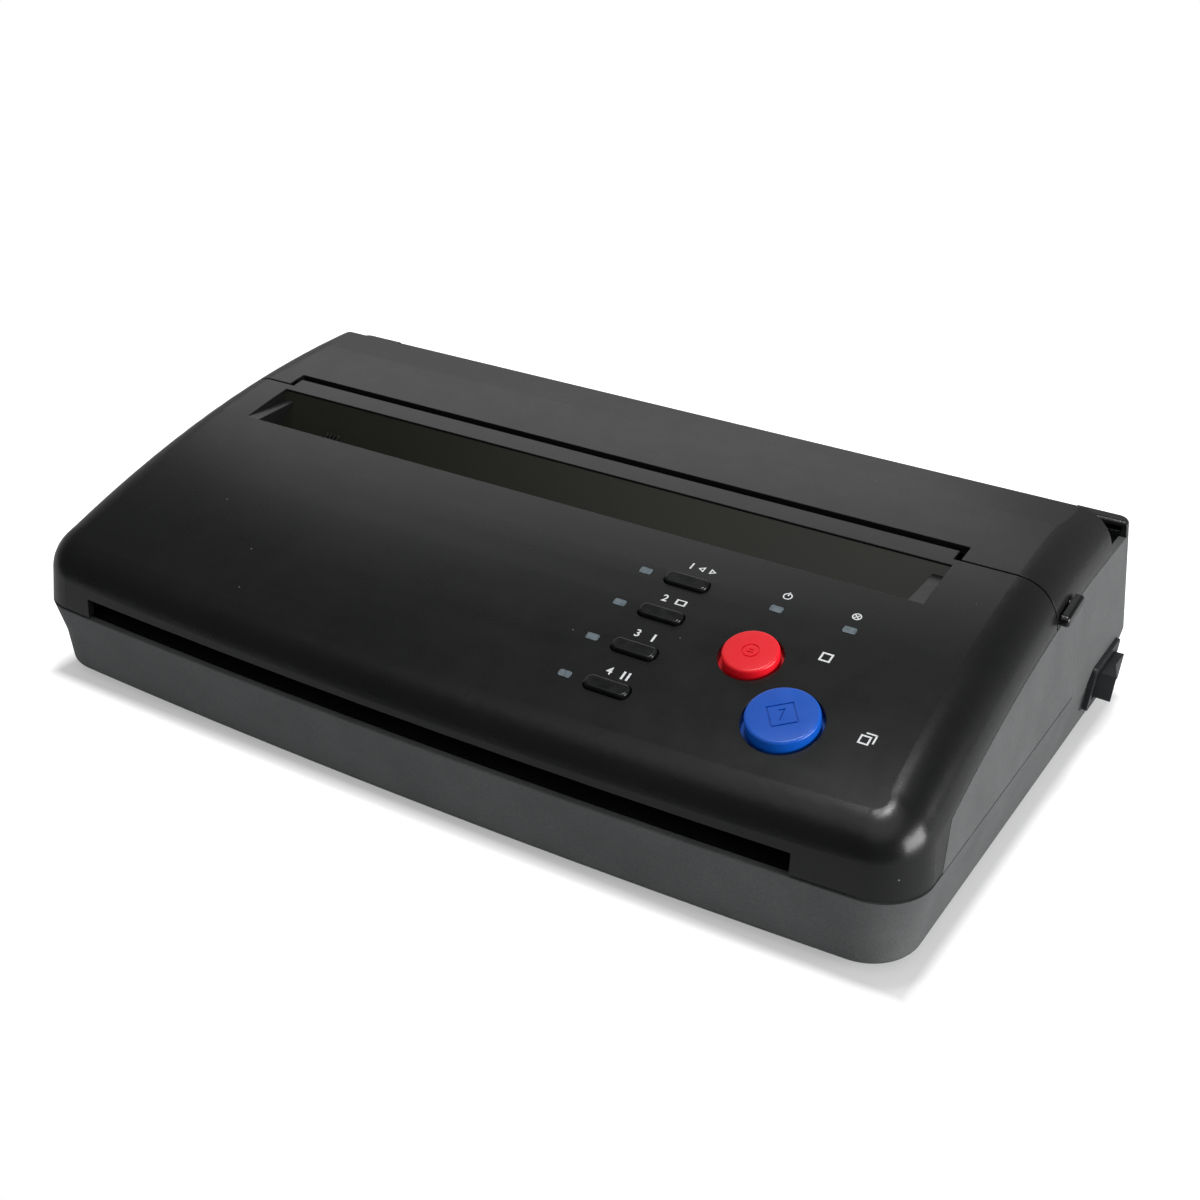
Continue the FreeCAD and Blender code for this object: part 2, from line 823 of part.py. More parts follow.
def window_band(left, right, front, rear, low_drop, high_drop):
    return prism([(front, well_line(front, low_drop)), (rear, well_line(rear, low_drop)),
                  (rear, well_line(rear, high_drop)), (front, well_line(front, high_drop))], left, right)


def front_region():
    front = -size.body_depth / 2 - size.overrun
    low = size.rim_height + size.rim_gap
    edges = chain([(size.parting_y, seam_at(size.parting_y)), (size.parting_y, SHELL_TOP),
                   (front, SHELL_TOP), (front, low), (size.skirt_foot_y, low),
                   (size.skirt_head_y, seam_at(size.skirt_head_y))])
    return across(edges + [profile_edge(size.skirt_head_y, size.parting_y, size.seam_drop)], -WIDE, WIDE)


def front_cover():
    shell = skin.common(front_region())
    left = size.well_left - size.well_wall
    right = size.well_right + size.well_wall
    front = size.well_front_y - size.well_wall
    rear = size.parting_y
    floor_rear = well_line(size.well_rear_y, size.window_thickness)
    floor_front = well_line(size.well_front_y, size.window_thickness)
    well = prism([(front, floor_front), (size.well_front_y, floor_front), (size.well_rear_y, floor_rear),
                  (rear, floor_rear), (rear, SHELL_TOP), (front, SHELL_TOP)], left, right).common(inside)
    bar = prism([(size.well_rear_y, top_at(size.well_rear_y, size.tongue_thickness)),
                 (size.well_rear_y, SHELL_TOP), (size.tongue_rear_y, SHELL_TOP),
                 (size.tongue_rear_y, top_at(size.tongue_rear_y, size.tongue_thickness))],
                size.tongue_left, size.tongue_right).common(dome_outer)
    shape = shell.fuse([well, bar])
    cavity = prism([(size.well_front_y, floor_front - size.overrun), (size.well_front_y, SHELL_TOP),
                    (size.well_rear_y, SHELL_TOP), (size.well_rear_y, floor_rear - size.overrun)],
                   size.well_left, size.well_right)
    shape = shape.cut(cavity).fuse([window_shelf(side) for side in (-1, 1)])
    shape = shape.cut(slab(size.slot_left, size.slot_right, -DEEP, size.skirt_foot_y - size.plan_corner / 2,
                           0, size.rim_height + size.slot_height))
    for x, y in SCREWS:
        post = Part.makeCylinder(size.boss_radius, SHELL_TOP - size.rim_height, Vector(x, y, size.rim_height))
        shape = shape.fuse(post.common(inside))
    for x, y in SCREWS:
        shape = shape.cut(Part.makeCylinder(size.screw_radius + size.pin_clearance,
                                            size.screw_tip_height + size.boss_gap, Vector(x, y, 0)))
    posts = []
    for x, v in board_posts():
        length = size.board_drop + panel_rise(abs(v) + size.board_post_radius) - size.wall / 2
        post = Part.makeCylinder(size.board_post_radius, length, Vector(x, v, -size.board_drop))
        post.Placement = PANEL
        posts.append(post)
    shape = shape.fuse(posts)
    holes = []
    for name, x, v, rise, radius in BUTTONS:
        gap = size.round_gap if radius else size.button_gap
        holes.append(cap_shape(x, v, -2 * size.wall, 2 * size.wall, gap, radius))
    for x, v in LAMPS:
        holes.append(lamp(x, v, size.lamp_gap, -2 * size.wall, 2 * size.wall))
    for hole in holes:
        hole.Placement = PANEL.multiply(hole.Placement)
        shape = shape.cut(hole)
    return shape.removeSplitter()


def window_shelf(side):
    """Level shelf at one end of the well, flush with the cover at its front."""
    width = size.right_shelf_width if side > 0 else size.left_shelf_width
    left = size.well_right - width if side > 0 else size.well_left
    level = top_at(size.well_front_y)
    low = well_line(size.well_front_y, size.window_thickness)
    pitch = (size.well_rear_y - size.well_front_y) / size.well_front_drop
    return prism([(size.well_front_y, low), (size.well_front_y + (level - low) * pitch, level),
                  (size.well_front_y, level)], left, left + width)


def board_posts():
    inset = size.board_post_inset
    half = size.board_half - inset
    return [(x, v) for x in (size.board_left + inset, size.board_right - inset) for v in (-half, half)]


def smoked_window():
    plate = window_band(size.well_left, size.well_right, size.well_front_y, size.well_rear_y,
                        size.window_thickness, 0.0)
    return plate.cut(window_shelf(-1)).cut(window_shelf(1)).Solids[0]


def sensor_comb():
    """Small ribbed bracket that stands on the window near its left end."""
    left = size.comb_left
    right = left + size.comb_width
    front = size.well_front_y
    rear = front + size.comb_width
    rail = size.comb_rail
    rails = [window_band(x, x + rail, front, rear, 0.0, -size.comb_rise) for x in (left, right - rail)]
    rails.append(window_band(left, right, rear - rail, rear, 0.0, -size.comb_rise))
    for rib in range(4):
        x = right - rail - (rib + 1) * size.comb_pitch + rail / 2
        rails.append(window_band(x, x + rail / 2, rear - rail / 2, rear + size.comb_width / 3,
                                 0.0, -size.comb_rise))
    return rails[0].fuse(rails[1:]).removeSplitter()


# Rear cover: arched shell with hinge ears and latch bearing

def cover_end(inset, front, low):
    """Side outline of the rear cover: upright at its end, rounded over to the crown."""
    end = size.cover_end_y - inset
    spin = size.cover_end_height - inset
    radius = size.cover_end_round
    near = radius * (1 - math.sqrt(0.5))
    crown = Vector(0, end - radius, spin + radius)
    half_turn = Vector(0, end - near, spin + radius - near)
    edges = chain([(crown.y, crown.z), (front, crown.z), (front, low), (end, low), (end, spin)])
    return edges + [Part.Arc(Vector(0, end, spin), half_turn, crown).toShape()]


def rear_cover():
    front = size.parting_y + size.parting_gap
    low = size.rim_height
    outer = dome_outer.common(across(cover_end(0.0, front, low), -WIDE, WIDE))
    inner_end = cover_end(size.wall, front - size.overrun, low - size.overrun)
    inner = dome_inner.common(across(inner_end, -WIDE, WIDE))
    back = size.body_depth / 2
    end_seam = seam_at(size.cover_end_y) + size.seam_gap
    edges = chain([(front, seam_at(front) + size.seam_gap), (front, SHELL_TOP), (back, SHELL_TOP),
                   (back, end_seam), (size.cover_end_y, end_seam)])
    edges.append(profile_edge(front, size.cover_end_y, size.seam_drop - size.seam_gap))
    shape = outer.cut(inner).common(across(edges, -WIDE, WIDE))
    shape = shape.cut(slab(size.tongue_left - size.tongue_gap, size.tongue_right + size.tongue_gap,
                           size.parting_y - size.overrun, size.chute_rear_y, size.rim_height, SHELL_TOP))
    for side in (-1, 1):
        shape = shape.fuse(hinge_ear(side))
    for side in (-1, 1):
        shape = shape.cut(hinge_pin(side, size.pin_clearance))
    bearing = tube(size.latch_arm_x + size.latch_arm_thickness + size.hook_gap, size.latch_y, latch_height(),
                   size.latch_shaft_radius + size.catch_radius / 2, size.overrun).common(inside)
    shape = shape.fuse(bearing)
    shape = shape.cut(tube(size.latch_arm_x, size.latch_y, latch_height(),
                           size.latch_shaft_radius + size.pin_clearance, size.overrun))
    return shape.removeSplitter()


def hinge_ear(side):
    """Ring round the hinge pin with an arm from the cover's end wall."""
    start = size.ear_left
    ring = tube(start, size.hinge_y, size.hinge_height, size.hinge_radius, size.ear_width)
    low = size.hinge_height - size.ear_thickness / 2
    arm = slab(start, start + size.ear_width, size.cover_end_y - size.wall / 2, size.hinge_y,
               low, low + size.ear_thickness)
    ear = ring.fuse(arm)
    return ear if side > 0 else ear.mirror(Vector(), Vector(1, 0, 0))


# Latch: outer paddle, shaft through the cover's wall, inner hook under the catch

def latch_lever():
    y = size.latch_y
    z = latch_height()
    half = size.latch_width / 2
    skin_x = side_at(z - half) + size.hook_gap
    front = y - size.latch_front + half
    rear = y + size.latch_rear - half
    paddle = slab(skin_x, skin_x + size.latch_thickness, front, rear, z - half, z + half)
    ends = [tube(skin_x, end, z, half, size.latch_thickness) for end in (front, rear)]
    paddle = paddle.fuse(ends).removeSplitter()
    rims = [edge for edge in paddle.Edges if edge.BoundBox.XMin > skin_x + size.latch_thickness / 2]
    paddle = paddle.makeFillet(half / 2, rims)
    paddle.rotate(Vector(skin_x, y, z), Vector(1, 0, 0), size.latch_tilt)
    bore = size.latch_shaft_radius
    shaft = tube(size.latch_arm_x, y, z, bore, skin_x + size.latch_thickness / 2 - size.latch_arm_x)
    toe_rear = y - size.catch_radius - size.hook_gap
    arm_rear = toe_rear - size.hook_reach
    arm_front = arm_rear - size.hook_thickness
    toe_top = catch_height() - size.hook_gap
    toe_low = toe_top - size.hook_thickness
    arm = prism([(arm_front, toe_low), (toe_rear, toe_low), (toe_rear, toe_top), (arm_rear, toe_top),
                 (arm_rear, z - bore), (y + bore, z - bore), (y + bore, z + bore), (arm_front, z + bore)],
                size.latch_arm_x, size.latch_arm_x + size.latch_arm_thickness)
    return paddle.fuse([shaft, arm]).removeSplitter()


def latch_catch():
    pin = tube(size.catch_left, size.latch_y, catch_height(), size.catch_radius, WIDE - size.catch_left)
    return pin.common(upper(size.wall))


# Gears with straight-sided steps along the involute of a circle

def gear(teeth, bore, phase):
    module = size.gear_module
    pitch = teeth * module / 2
    base = pitch * math.cos(math.radians(size.pressure_angle))
    tip = pitch + module
    root_share = 1.25
    root = pitch - module * root_share
    roll = math.tan(math.radians(size.pressure_angle)) - math.radians(size.pressure_angle)
    half_tooth = math.pi / (2 * teeth) - size.gear_backlash / (2 * pitch) + roll
    flank = []
    for step in range(4):
        radius = max(base, root) + (tip - max(base, root)) * step / 3
        reach = math.sqrt(max((radius / base) ** 2 - 1, 0.0))
        flank.append((radius, half_tooth - (reach - math.atan(reach))))
    points = []
    for tooth in range(int(teeth)):
        middle = phase + 2 * math.pi * tooth / teeth
        ring = [(root, middle - flank[0][1])] + [(r, middle - a) for r, a in flank]
        ring += [(r, middle + a) for r, a in reversed(flank)] + [(root, middle + flank[0][1])]
        points += [(r * math.cos(a), r * math.sin(a)) for r, a in ring]
    corners = [Vector(0, y, z) for y, z in points]
    wheel = Part.Face(Part.makePolygon(corners + corners[:1])).extrude(Vector(size.gear_width, 0, 0))
    return wheel.cut(tube(-size.gear_width, 0, 0, bore, 3 * size.gear_width))


def meeting_point(first, first_reach, second, second_reach):
    """Centre that lies above the line between two wheels, at given distances."""
    span_y = second[0] - first[0]
    span_z = second[1] - first[1]
    span = math.hypot(span_y, span_z)
    along = (first_reach ** 2 - second_reach ** 2 + span ** 2) / (2 * span)
    off = math.sqrt(first_reach ** 2 - along ** 2)
    unit = (span_y / span, span_z / span)
    return (first[0] + along * unit[0] - off * unit[1], first[1] + along * unit[1] + off * unit[0])


def bearing_angle(first, second):
    return math.atan2(second[1] - first[1], second[0] - first[0])


def mesh_phase(first, first_teeth, first_phase, second, second_teeth):
    """Phase that puts a gap of the second wheel where the first has a tooth."""
    line = bearing_angle(first, second)
    offset = (first_phase - line) * first_teeth
    return line + math.pi + math.pi / second_teeth - offset / second_teeth


MOTOR = (size.motor_y, size.motor_height)
PLATEN = (size.platen_y, size.platen_height)
FEED = (size.scan_y, size.guide_height + size.guide_thickness + size.paper_gap + size.feed_radius)


def centre_distance(first_teeth, second_teeth):
    return size.gear_module * (first_teeth + second_teeth) / 2


UPPER_IDLER = meeting_point(MOTOR, centre_distance(size.pinion_teeth, size.upper_idler_teeth),
                            PLATEN, centre_distance(size.platen_teeth, size.upper_idler_teeth))
LOWER_IDLER = meeting_point(FEED, centre_distance(size.feed_teeth, size.lower_idler_teeth),
                            MOTOR, centre_distance(size.pinion_teeth, size.lower_idler_teeth))
upper_phase = mesh_phase(MOTOR, size.pinion_teeth, 0.0, UPPER_IDLER, size.upper_idler_teeth)
lower_phase = mesh_phase(MOTOR, size.pinion_teeth, 0.0, LOWER_IDLER, size.lower_idler_teeth)
platen_phase = mesh_phase(UPPER_IDLER, size.upper_idler_teeth, upper_phase, PLATEN, size.platen_teeth)
feed_phase = mesh_phase(LOWER_IDLER, size.lower_idler_teeth, lower_phase, FEED, size.feed_teeth)


def wheel_at(name, centre, teeth, bore, phase):
    place = Placement(Vector(size.gear_start_x, *centre), Rotation())
    return keep(feature(name, gear(teeth, bore, phase), place))


# Frame plates

def plate_outline(x):
    """Plate from the tray's floor to just under the arch."""
    floor = size.foot_height + size.floor_thickness
    tops = [(size.plate_neck_y, size.plate_rear_drop), (size.plate_crown_y, size.plate_crown_drop),
            (size.plate_front_y, size.plate_front_drop)]
    shoulder = size.stop_bar_high
    points = [(size.plate_front_y, floor), (size.plate_rear_y, floor), (size.plate_rear_y, shoulder),
              (size.plate_neck_y, shoulder)]
    points += [(y, top_at(y, drop)) for y, drop in tops]
    return prism(points, x, x + size.plate_thickness)


def bush_radius(shaft_radius):
    return shaft_radius + size.shaft_clearance + size.bush_wall


def plate(x):
    shape = plate_outline(x)
    pivot = (size.head_pivot_y, size.head_pivot_height)
    for centre, radius in ((PLATEN, bush_radius(size.platen_shaft_radius)),
                           (FEED, bush_radius(size.feed_shaft_radius)),
                           (pivot, size.head_pivot_radius + size.pin_clearance)):
        shape = shape.cut(tube(x - size.overrun, centre[0], centre[1], radius, 2 * size.overrun))
    return shape


def bush(x, centre, shaft_radius, flange_side):
    outer = bush_radius(shaft_radius)
    body = tube(x, centre[0], centre[1], outer, size.plate_thickness)
    flange_x = x - size.bush_flange_thickness if flange_side < 0 else x + size.plate_thickness
    flange = tube(flange_x, centre[0], centre[1], outer + size.bush_flange, size.bush_flange_thickness)
    hole = tube(x - size.overrun, centre[0], centre[1], shaft_radius + size.shaft_clearance, 2 * size.overrun)
    return body.fuse(flange).cut(hole).removeSplitter()


# Build the fixed body

keep(feature("base_tray", base_tray()))
wedge_outline = seam_outline(size.skirt_head_y + size.panel_gap, size.wedge_end_y, size.panel_gap,
                             size.skirt_foot_y + size.panel_gap)
wedge = side_skin.common(across(wedge_outline, -WIDE, WIDE))
for solid in wedge.Solids:
    side = "right" if solid.CenterOfMass.x > 0 else "left"
    keep(feature("side_panel_" + side, solid))
keep(feature("front_cover", front_cover()))
keep(feature("smoked_window", smoked_window()))
keep(feature("sensor_comb", sensor_comb()))

board_top = -size.board_drop
board = Part.makeBox(size.board_right - size.board_left, 2 * size.board_half, size.board_thickness,
                     Vector(size.board_left, -size.board_half, board_top - size.board_thickness))
keep(feature("control_board", board, PANEL))

lenses = [lamp(x, v, 0.0, board_top, panel_rise(v) + size.lamp_rise) for x, v in LAMPS]
keep(feature("indicator_lenses", Part.makeCompound(lenses), PANEL))

contacts = []
for name, x, v, rise, radius in BUTTONS:
    side = size.switch_side
    body = Part.makeBox(side, side, size.switch_body, Vector(x - side / 2, v - side / 2, board_top))
    stud = Part.makeCylinder(size.switch_stud_radius, size.switch_stud,
                             Vector(x, v, board_top + size.switch_body))
    contacts.append(body.fuse(stud).removeSplitter())
keep(feature("tact_switches", Part.makeCompound(contacts), PANEL))

keep(feature("left_side_plate", plate(size.left_plate_x)))
posts = [tube(size.right_plate_x, centre[0], centre[1], size.post_radius,
              size.gear_start_x + size.gear_width - size.right_plate_x + size.hook_gap)
         for centre in (UPPER_IDLER, LOWER_IDLER)]
keep(feature("right_side_plate", plate(size.right_plate_x).fuse(posts).removeSplitter()))

bushes = []
for centre, radius in ((PLATEN, size.platen_shaft_radius), (FEED, size.feed_shaft_radius)):
    bushes.append(bush(size.left_plate_x, centre, radius, -1))
    bushes.append(bush(size.right_plate_x, centre, radius, -1))
keep(feature("shaft_bushes", Part.makeCompound(bushes)))

guide_x = "left_plate_x + plate_thickness"
guide_span = "right_plate_x - left_plate_x - plate_thickness"
rear_edge = size.scan_y - size.scan_half - size.guide_gap
front_sheet = slab(size.left_plate_x + size.plate_thickness, size.right_plate_x, -DEEP, rear_edge,
                   size.guide_height, size.guide_height + size.guide_thickness)
flag_window = slab(size.flag_x - size.flag_width, size.flag_x + size.flag_width,
                   size.flag_y - size.flag_width, size.flag_y + 2 * size.flag_width, 0.0, SHELL_TOP)
flat = plan(0.0, size.wall + size.guide_gap, size.rear_corner, size.guide_gap)
bowed = Part.Face(flat).extrude(Vector(0, 0, SHELL_TOP))
keep(feature("front_paper_guide", front_sheet.common(bowed).cut(flag_window)))
keep(block("rear_paper_guide", (guide_x, "scan_y + scan_half + guide_gap", "guide_height"),
           (guide_span, "body_depth / 2 - wall - scan_y - scan_half - 2 * guide_gap", "guide_thickness")))
keep(block("scan_module", (guide_x, "scan_y - scan_half", "scan_height"),
           (guide_span, "2 * scan_half", "guide_height + guide_thickness - glass_thickness - scan_height")))
glass_low = "guide_height + guide_thickness - glass_thickness"
keep(block("scan_glass", ("roller_left", "scan_y - glass_half", glass_low),
           ("roller_right - roller_left", "2 * glass_half", "glass_thickness")))

chute_foot = (size.platen_y - size.platen_radius / 2,
              size.platen_height + size.platen_radius + size.bush_wall)
chute_head = (size.tongue_rear_y - size.hook_gap, top_at(size.tongue_rear_y, size.chute_drop))
chute_fall = (chute_foot[0] - chute_head[0], chute_foot[1] - chute_head[1])
lean = size.chute_plate_thickness / math.hypot(*chute_fall)
chute_face = [(y - lean * chute_fall[1], z + lean * chute_fall[0]) for y, z in (chute_head, chute_foot)]
keep(feature("stencil_paper_chute", prism([chute_head, chute_face[0], chute_face[1], chute_foot],
                                          size.left_plate_x + size.plate_thickness, size.right_plate_x)))

swing = "(head_high - head_pivot_height) * sin(head_tilt * 1deg)"
head_front = "platen_y + platen_radius + paper_gap"
head_back = head_front + " + head_thickness"
stop_front = head_back + " + carrier_thickness + paper_gap + " + swing
keep(block("head_stop_bar", (guide_x, stop_front, "stop_bar_low"),
           (guide_span, "stop_bar_thickness", "stop_bar_high - stop_bar_low")))


def head_spring(x):
    low = size.guide_height + size.guide_thickness
    foot = Vector(x, size.spring_y, low)
    outer = Part.makeCylinder(size.spring_radius, size.spring_high - low, foot)
    return outer.cut(Part.makeCylinder(size.spring_bore, size.spring_high - low, foot))


SPRING_X = (size.roller_left - size.spring_offset, size.roller_right + size.spring_offset)
keep(feature("head_springs", Part.makeCompound([head_spring(x) for x in SPRING_X])))

plate_foot = "foot_height + floor_thickness"
bracket_plate = block("bracket_plate", ("bracket_x", "motor_y - bracket_half", plate_foot),
                      ("plate_thickness", "2 * bracket_half", "bracket_top - foot_height - floor_thickness"))
bracket_hole = rod("bracket_hole", ("bracket_x - plate_thickness", "motor_y", "motor_height"),
                   "4 * motor_shaft_radius", "3 * plate_thickness")
keep(cut("motor_bracket", bracket_plate, bracket_hole))
can = rod("motor_can_body", ("bracket_x + plate_thickness", "motor_y", "motor_height"),
          "motor_radius", "motor_length")
can_hole = rod("motor_can_hole", ("bracket_x", "motor_y", "motor_height"),
               "motor_shaft_radius + shaft_clearance", "plate_thickness + motor_bore_depth")
keep(cut("motor_can", can, can_hole))

keep(feature("latch_catch", latch_catch()))
keep(feature("power_switch_housing", switch_local(switch_housing())))


def power_inlet():
    half = size.body_depth / 2
    seat = half - size.inlet_flange_thickness
    shape = inlet_block(half - size.inlet_depth, seat, 0.0).fuse(inlet_block(seat, half, size.inlet_flange))
    shape = shape.cut(inlet_block(half - size.inlet_recess, DEEP, -size.inlet_flange))
    for side in (-1, 1):
        foot = Vector(size.inlet_x + side * size.inlet_pin_pitch / 2, half - size.inlet_recess,
                      size.inlet_height)
        shape = shape.fuse(Part.makeCylinder(size.inlet_pin_radius, size.inlet_recess, foot, Vector(0, 1, 0)))
    return shape.removeSplitter()


keep(feature("power_inlet", power_inlet()))

board_low = "foot_height + floor_thickness + standoff_height"
board_high = board_low + " + board_thickness"
keep(block("main_board", ("main_board_left", "main_board_front", board_low),
           ("main_board_right - main_board_left", "main_board_rear - main_board_front", "board_thickness")))
chip_left = "main_board_left + %d * chip_side + standoff_inset * 2"
chips = [block("board_chip_%d" % (spot + 1),
               (chip_left % (2 * spot), "main_board_front + standoff_inset", board_high),
               ("chip_side", "chip_side", "chip_height")) for spot in range(3)]
keep(group("board_chips", chips))
keep(block("power_board", ("power_board_left", "power_board_front", board_low),
           ("power_board_right - power_board_left", "power_board_rear - power_board_front",
            "board_thickness")))
keep(block("power_transformer", ("power_board_left + 3 * standoff_inset",
                                 "power_board_front + 3 * standoff_inset", board_high),
           ("transformer_width", "transformer_depth", "transformer_height")))
capacitors = [upright("power_capacitor_%d" % (spot + 1),
                      ("power_board_right - 3 * standoff_inset - %d * 3 * capacitor_radius" % spot,
                       "power_board_front + 4 * standoff_inset", board_high),
                      "capacitor_radius", "capacitor_height") for spot in range(2)]
keep(group("power_capacitors", capacitors))

keep(feature("rear_bar", rear_bar()))
keep(feature("hinge_pins", Part.makeCompound([hinge_pin(-1), hinge_pin(1)])))

feet = []
for spot, (x, y) in enumerate((("-", "-"), ("", "-"), ("-", ""), ("", "")), 1):
    feet.append(upright("foot_%d" % spot, (x + "foot_x", y + "foot_y", "0 * foot_height"),
                        "foot_radius", "foot_height"))
keep(group("rubber_feet", feet))


def screw(x, y):
    head_low = size.foot_height + size.boss_seat - size.screw_head_height
    head = Part.makeCylinder(size.screw_head_radius, size.screw_head_height, Vector(x, y, head_low))
    shank = Part.makeCylinder(size.screw_radius, size.screw_tip_height - head_low, Vector(x, y, head_low))
    slot = slab(x - size.screw_head_radius / 2, x + size.screw_head_radius / 2, y - size.screw_radius / 4,
                y + size.screw_radius / 4, head_low, head_low + size.screw_head_height / 2)
    return head.fuse(shank).cut(slot).removeSplitter()


keep(feature("case_screws", Part.makeCompound([screw(x, y) for x, y in SCREWS])))


def flag_stand():
    side = size.flag_block
    low = size.foot_height + size.floor_thickness
    inner = size.flag_x - size.flag_width / 2 - size.guide_gap
    outer = inner - side
    top = size.flag_height + size.flag_radius * 2
    ears = []
    for left in (outer, size.flag_x + size.flag_width / 2 + size.guide_gap):
        ears.append(slab(left, left + side, size.flag_y - side, size.flag_y + side, low, top))
    foot = slab(outer, size.flag_x + size.flag_width / 2 + size.guide_gap + side, size.flag_y - side,
                size.flag_y + side, low, low + size.floor_thickness)
    shape = foot.fuse(ears)
    shaft = tube(outer - side, size.flag_y, size.flag_height, size.flag_radius + size.pin_clearance, 6 * side)
    return shape.cut(shaft).removeSplitter()


keep(feature("paper_flag_stand", flag_stand()))

# Build the moving bodies

keep(feature("rear_cover", rear_cover()))
keep(feature("latch_lever", latch_lever()))
for name, x, v, rise, radius in BUTTONS:
    keep(feature(name, button(x, v, rise, radius), PANEL))
keep(feature("power_rocker", switch_local(rocker())))

shaft_end = "gear_start_x + gear_width"
platen_shaft = keep(rod("platen_shaft", ("shaft_left", "platen_y", "platen_height"), "platen_shaft_radius",
                        shaft_end + " - shaft_left"))
platen_sleeve = rod("platen_sleeve", ("roller_left", "platen_y", "platen_height"), "platen_radius",
                    "roller_right - roller_left")
platen_core = rod("platen_core", ("shaft_left", "platen_y", "platen_height"), "platen_shaft_radius",
                  shaft_end + " - shaft_left")
keep(cut("platen_rubber", platen_sleeve, platen_core))
feed_z = "guide_height + guide_thickness + paper_gap + feed_radius"
keep(rod("feed_shaft", ("shaft_left", "scan_y", feed_z), "feed_shaft_radius", shaft_end + " - shaft_left"))
feed_sleeve = rod("feed_sleeve", ("roller_left", "scan_y", feed_z), "feed_radius",
                  "roller_right - roller_left")
feed_core = rod("feed_core", ("shaft_left", "scan_y", feed_z), "feed_shaft_radius",
                shaft_end + " - shaft_left")
keep(cut("feed_rubber", feed_sleeve, feed_core))

wheel_at("platen_gear", PLATEN, size.platen_teeth, size.platen_shaft_radius, platen_phase)
wheel_at("feed_gear", FEED, size.feed_teeth, size.feed_shaft_radius, feed_phase)
idler_bore = size.post_radius + size.shaft_clearance
wheel_at("upper_idler_gear", UPPER_IDLER, size.upper_idler_teeth, idler_bore, upper_phase)
wheel_at("lower_idler_gear", LOWER_IDLER, size.lower_idler_teeth, idler_bore, lower_phase)
wheel_at("motor_pinion", MOTOR, size.pinion_teeth, size.motor_shaft_radius, 0.0)
keep(rod("motor_shaft", ("gear_start_x", "motor_y", "motor_height"), "motor_shaft_radius",
         "bracket_x + plate_thickness + motor_shaft_depth - gear_start_x"))

keep(block("print_head", ("roller_left", head_front, "head_low"),
           ("roller_right - roller_left", "head_thickness", "head_high - head_low")))
carrier = block("carrier_plate", ("roller_left", head_back, "head_pivot_height - 2 * head_pivot_radius"),
                ("roller_right - roller_left", "carrier_thickness",
                 "head_high - head_pivot_height + 2 * head_pivot_radius"))
lug = block("carrier_lug", ("roller_left", head_back, "head_pivot_height - head_pivot_radius"),
            ("roller_right - roller_left", "head_pivot_y - (" + head_back + ")", "2 * head_pivot_radius"))
pivot = rod("carrier_pivot", ("left_plate_x", "head_pivot_y", "head_pivot_height"), "head_pivot_radius",
            "right_plate_x + plate_thickness - left_plate_x")
tail_rear = "spring_y + spring_radius - (" + head_back + ")"
tail_left = "roller_left - spring_offset - spring_radius"
tail_right = "roller_right - spring_radius"
tail_width = "spring_offset + 2 * spring_radius"
tails = []
for side, start in (("left", tail_left), ("right", tail_right)):
    tails.append(block("carrier_tail_" + side, (start, head_back, "spring_high"),
                       (tail_width, tail_rear, "tail_thickness")))
keep(joined("head_carrier", [carrier, lug, pivot] + tails))


def paper_flag():
    width = size.flag_width
    left = size.flag_x - width / 2
    hub = tube(left, size.flag_y, size.flag_height, 2 * size.flag_radius, width)
    half = size.flag_thickness / 2
    arm = slab(left, left + width, size.flag_y - half, size.flag_y + half,
               size.flag_height, size.flag_height + size.flag_reach)
    reach = size.flag_block + size.guide_gap
    shaft = tube(left - reach, size.flag_y, size.flag_height, size.flag_radius, width + 2 * reach)
    return hub.fuse([arm, shaft]).removeSplitter()


keep(feature("paper_flag", paper_flag()))


# Set the whole machine on the middle of its outline

doc.recompute()
boxes = [item.Shape.optimalBoundingBox() for item in nodes]
middle = (min(box.XMin for box in boxes) + max(box.XMax for box in boxes)) / 2
rows = len(cells) + 1
sheet.set("A%d" % rows, "middle_shift")
sheet.set("B%d" % rows, "%.4f" % -middle)
sheet.setAlias("B%d" % rows, "middle_shift")
for item in nodes:
    bound = dict(item.ExpressionEngine)
    start = bound.get("Placement.Base.x", bound.get(".Placement.Base.x", "%.6f" % item.Placement.Base.x))
    item.setExpression("Placement.Base.x", start + " + Sizes.middle_shift")

doc.recompute()

faults = []
for item in doc.Objects:
    if "Invalid" in item.State or "Error" in item.State:
        faults.append("%s: %s" % (item.Label, item.State))
for item in nodes:
    if item.Shape.isNull() or not item.Shape.isValid() or not item.Shape.Solids:
        faults.append("%s: no valid solid" % item.Label)
if faults:
    raise RuntimeError("\n".join(faults))

os.makedirs("parts", exist_ok=True)
for item in nodes:
    item.Shape.exportStep("parts/%s.step" % item.Label)
    box = item.Shape.optimalBoundingBox()
    print("%-22s solids %2d  volume %10.1f  x %7.1f %7.1f  y %6.1f %6.1f  z %5.1f %5.1f" % (
        item.Label, len(item.Shape.Solids), item.Shape.Volume,
        box.XMin, box.XMax, box.YMin, box.YMax, box.ZMin, box.ZMax))
print("nodes", len(nodes))
print("idler centres", UPPER_IDLER, LOWER_IDLER, "feed", FEED, "panel slope", math.degrees(PANEL_SLOPE))
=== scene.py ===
import math

import bmesh
import bpy
from mathutils import Matrix, Vector


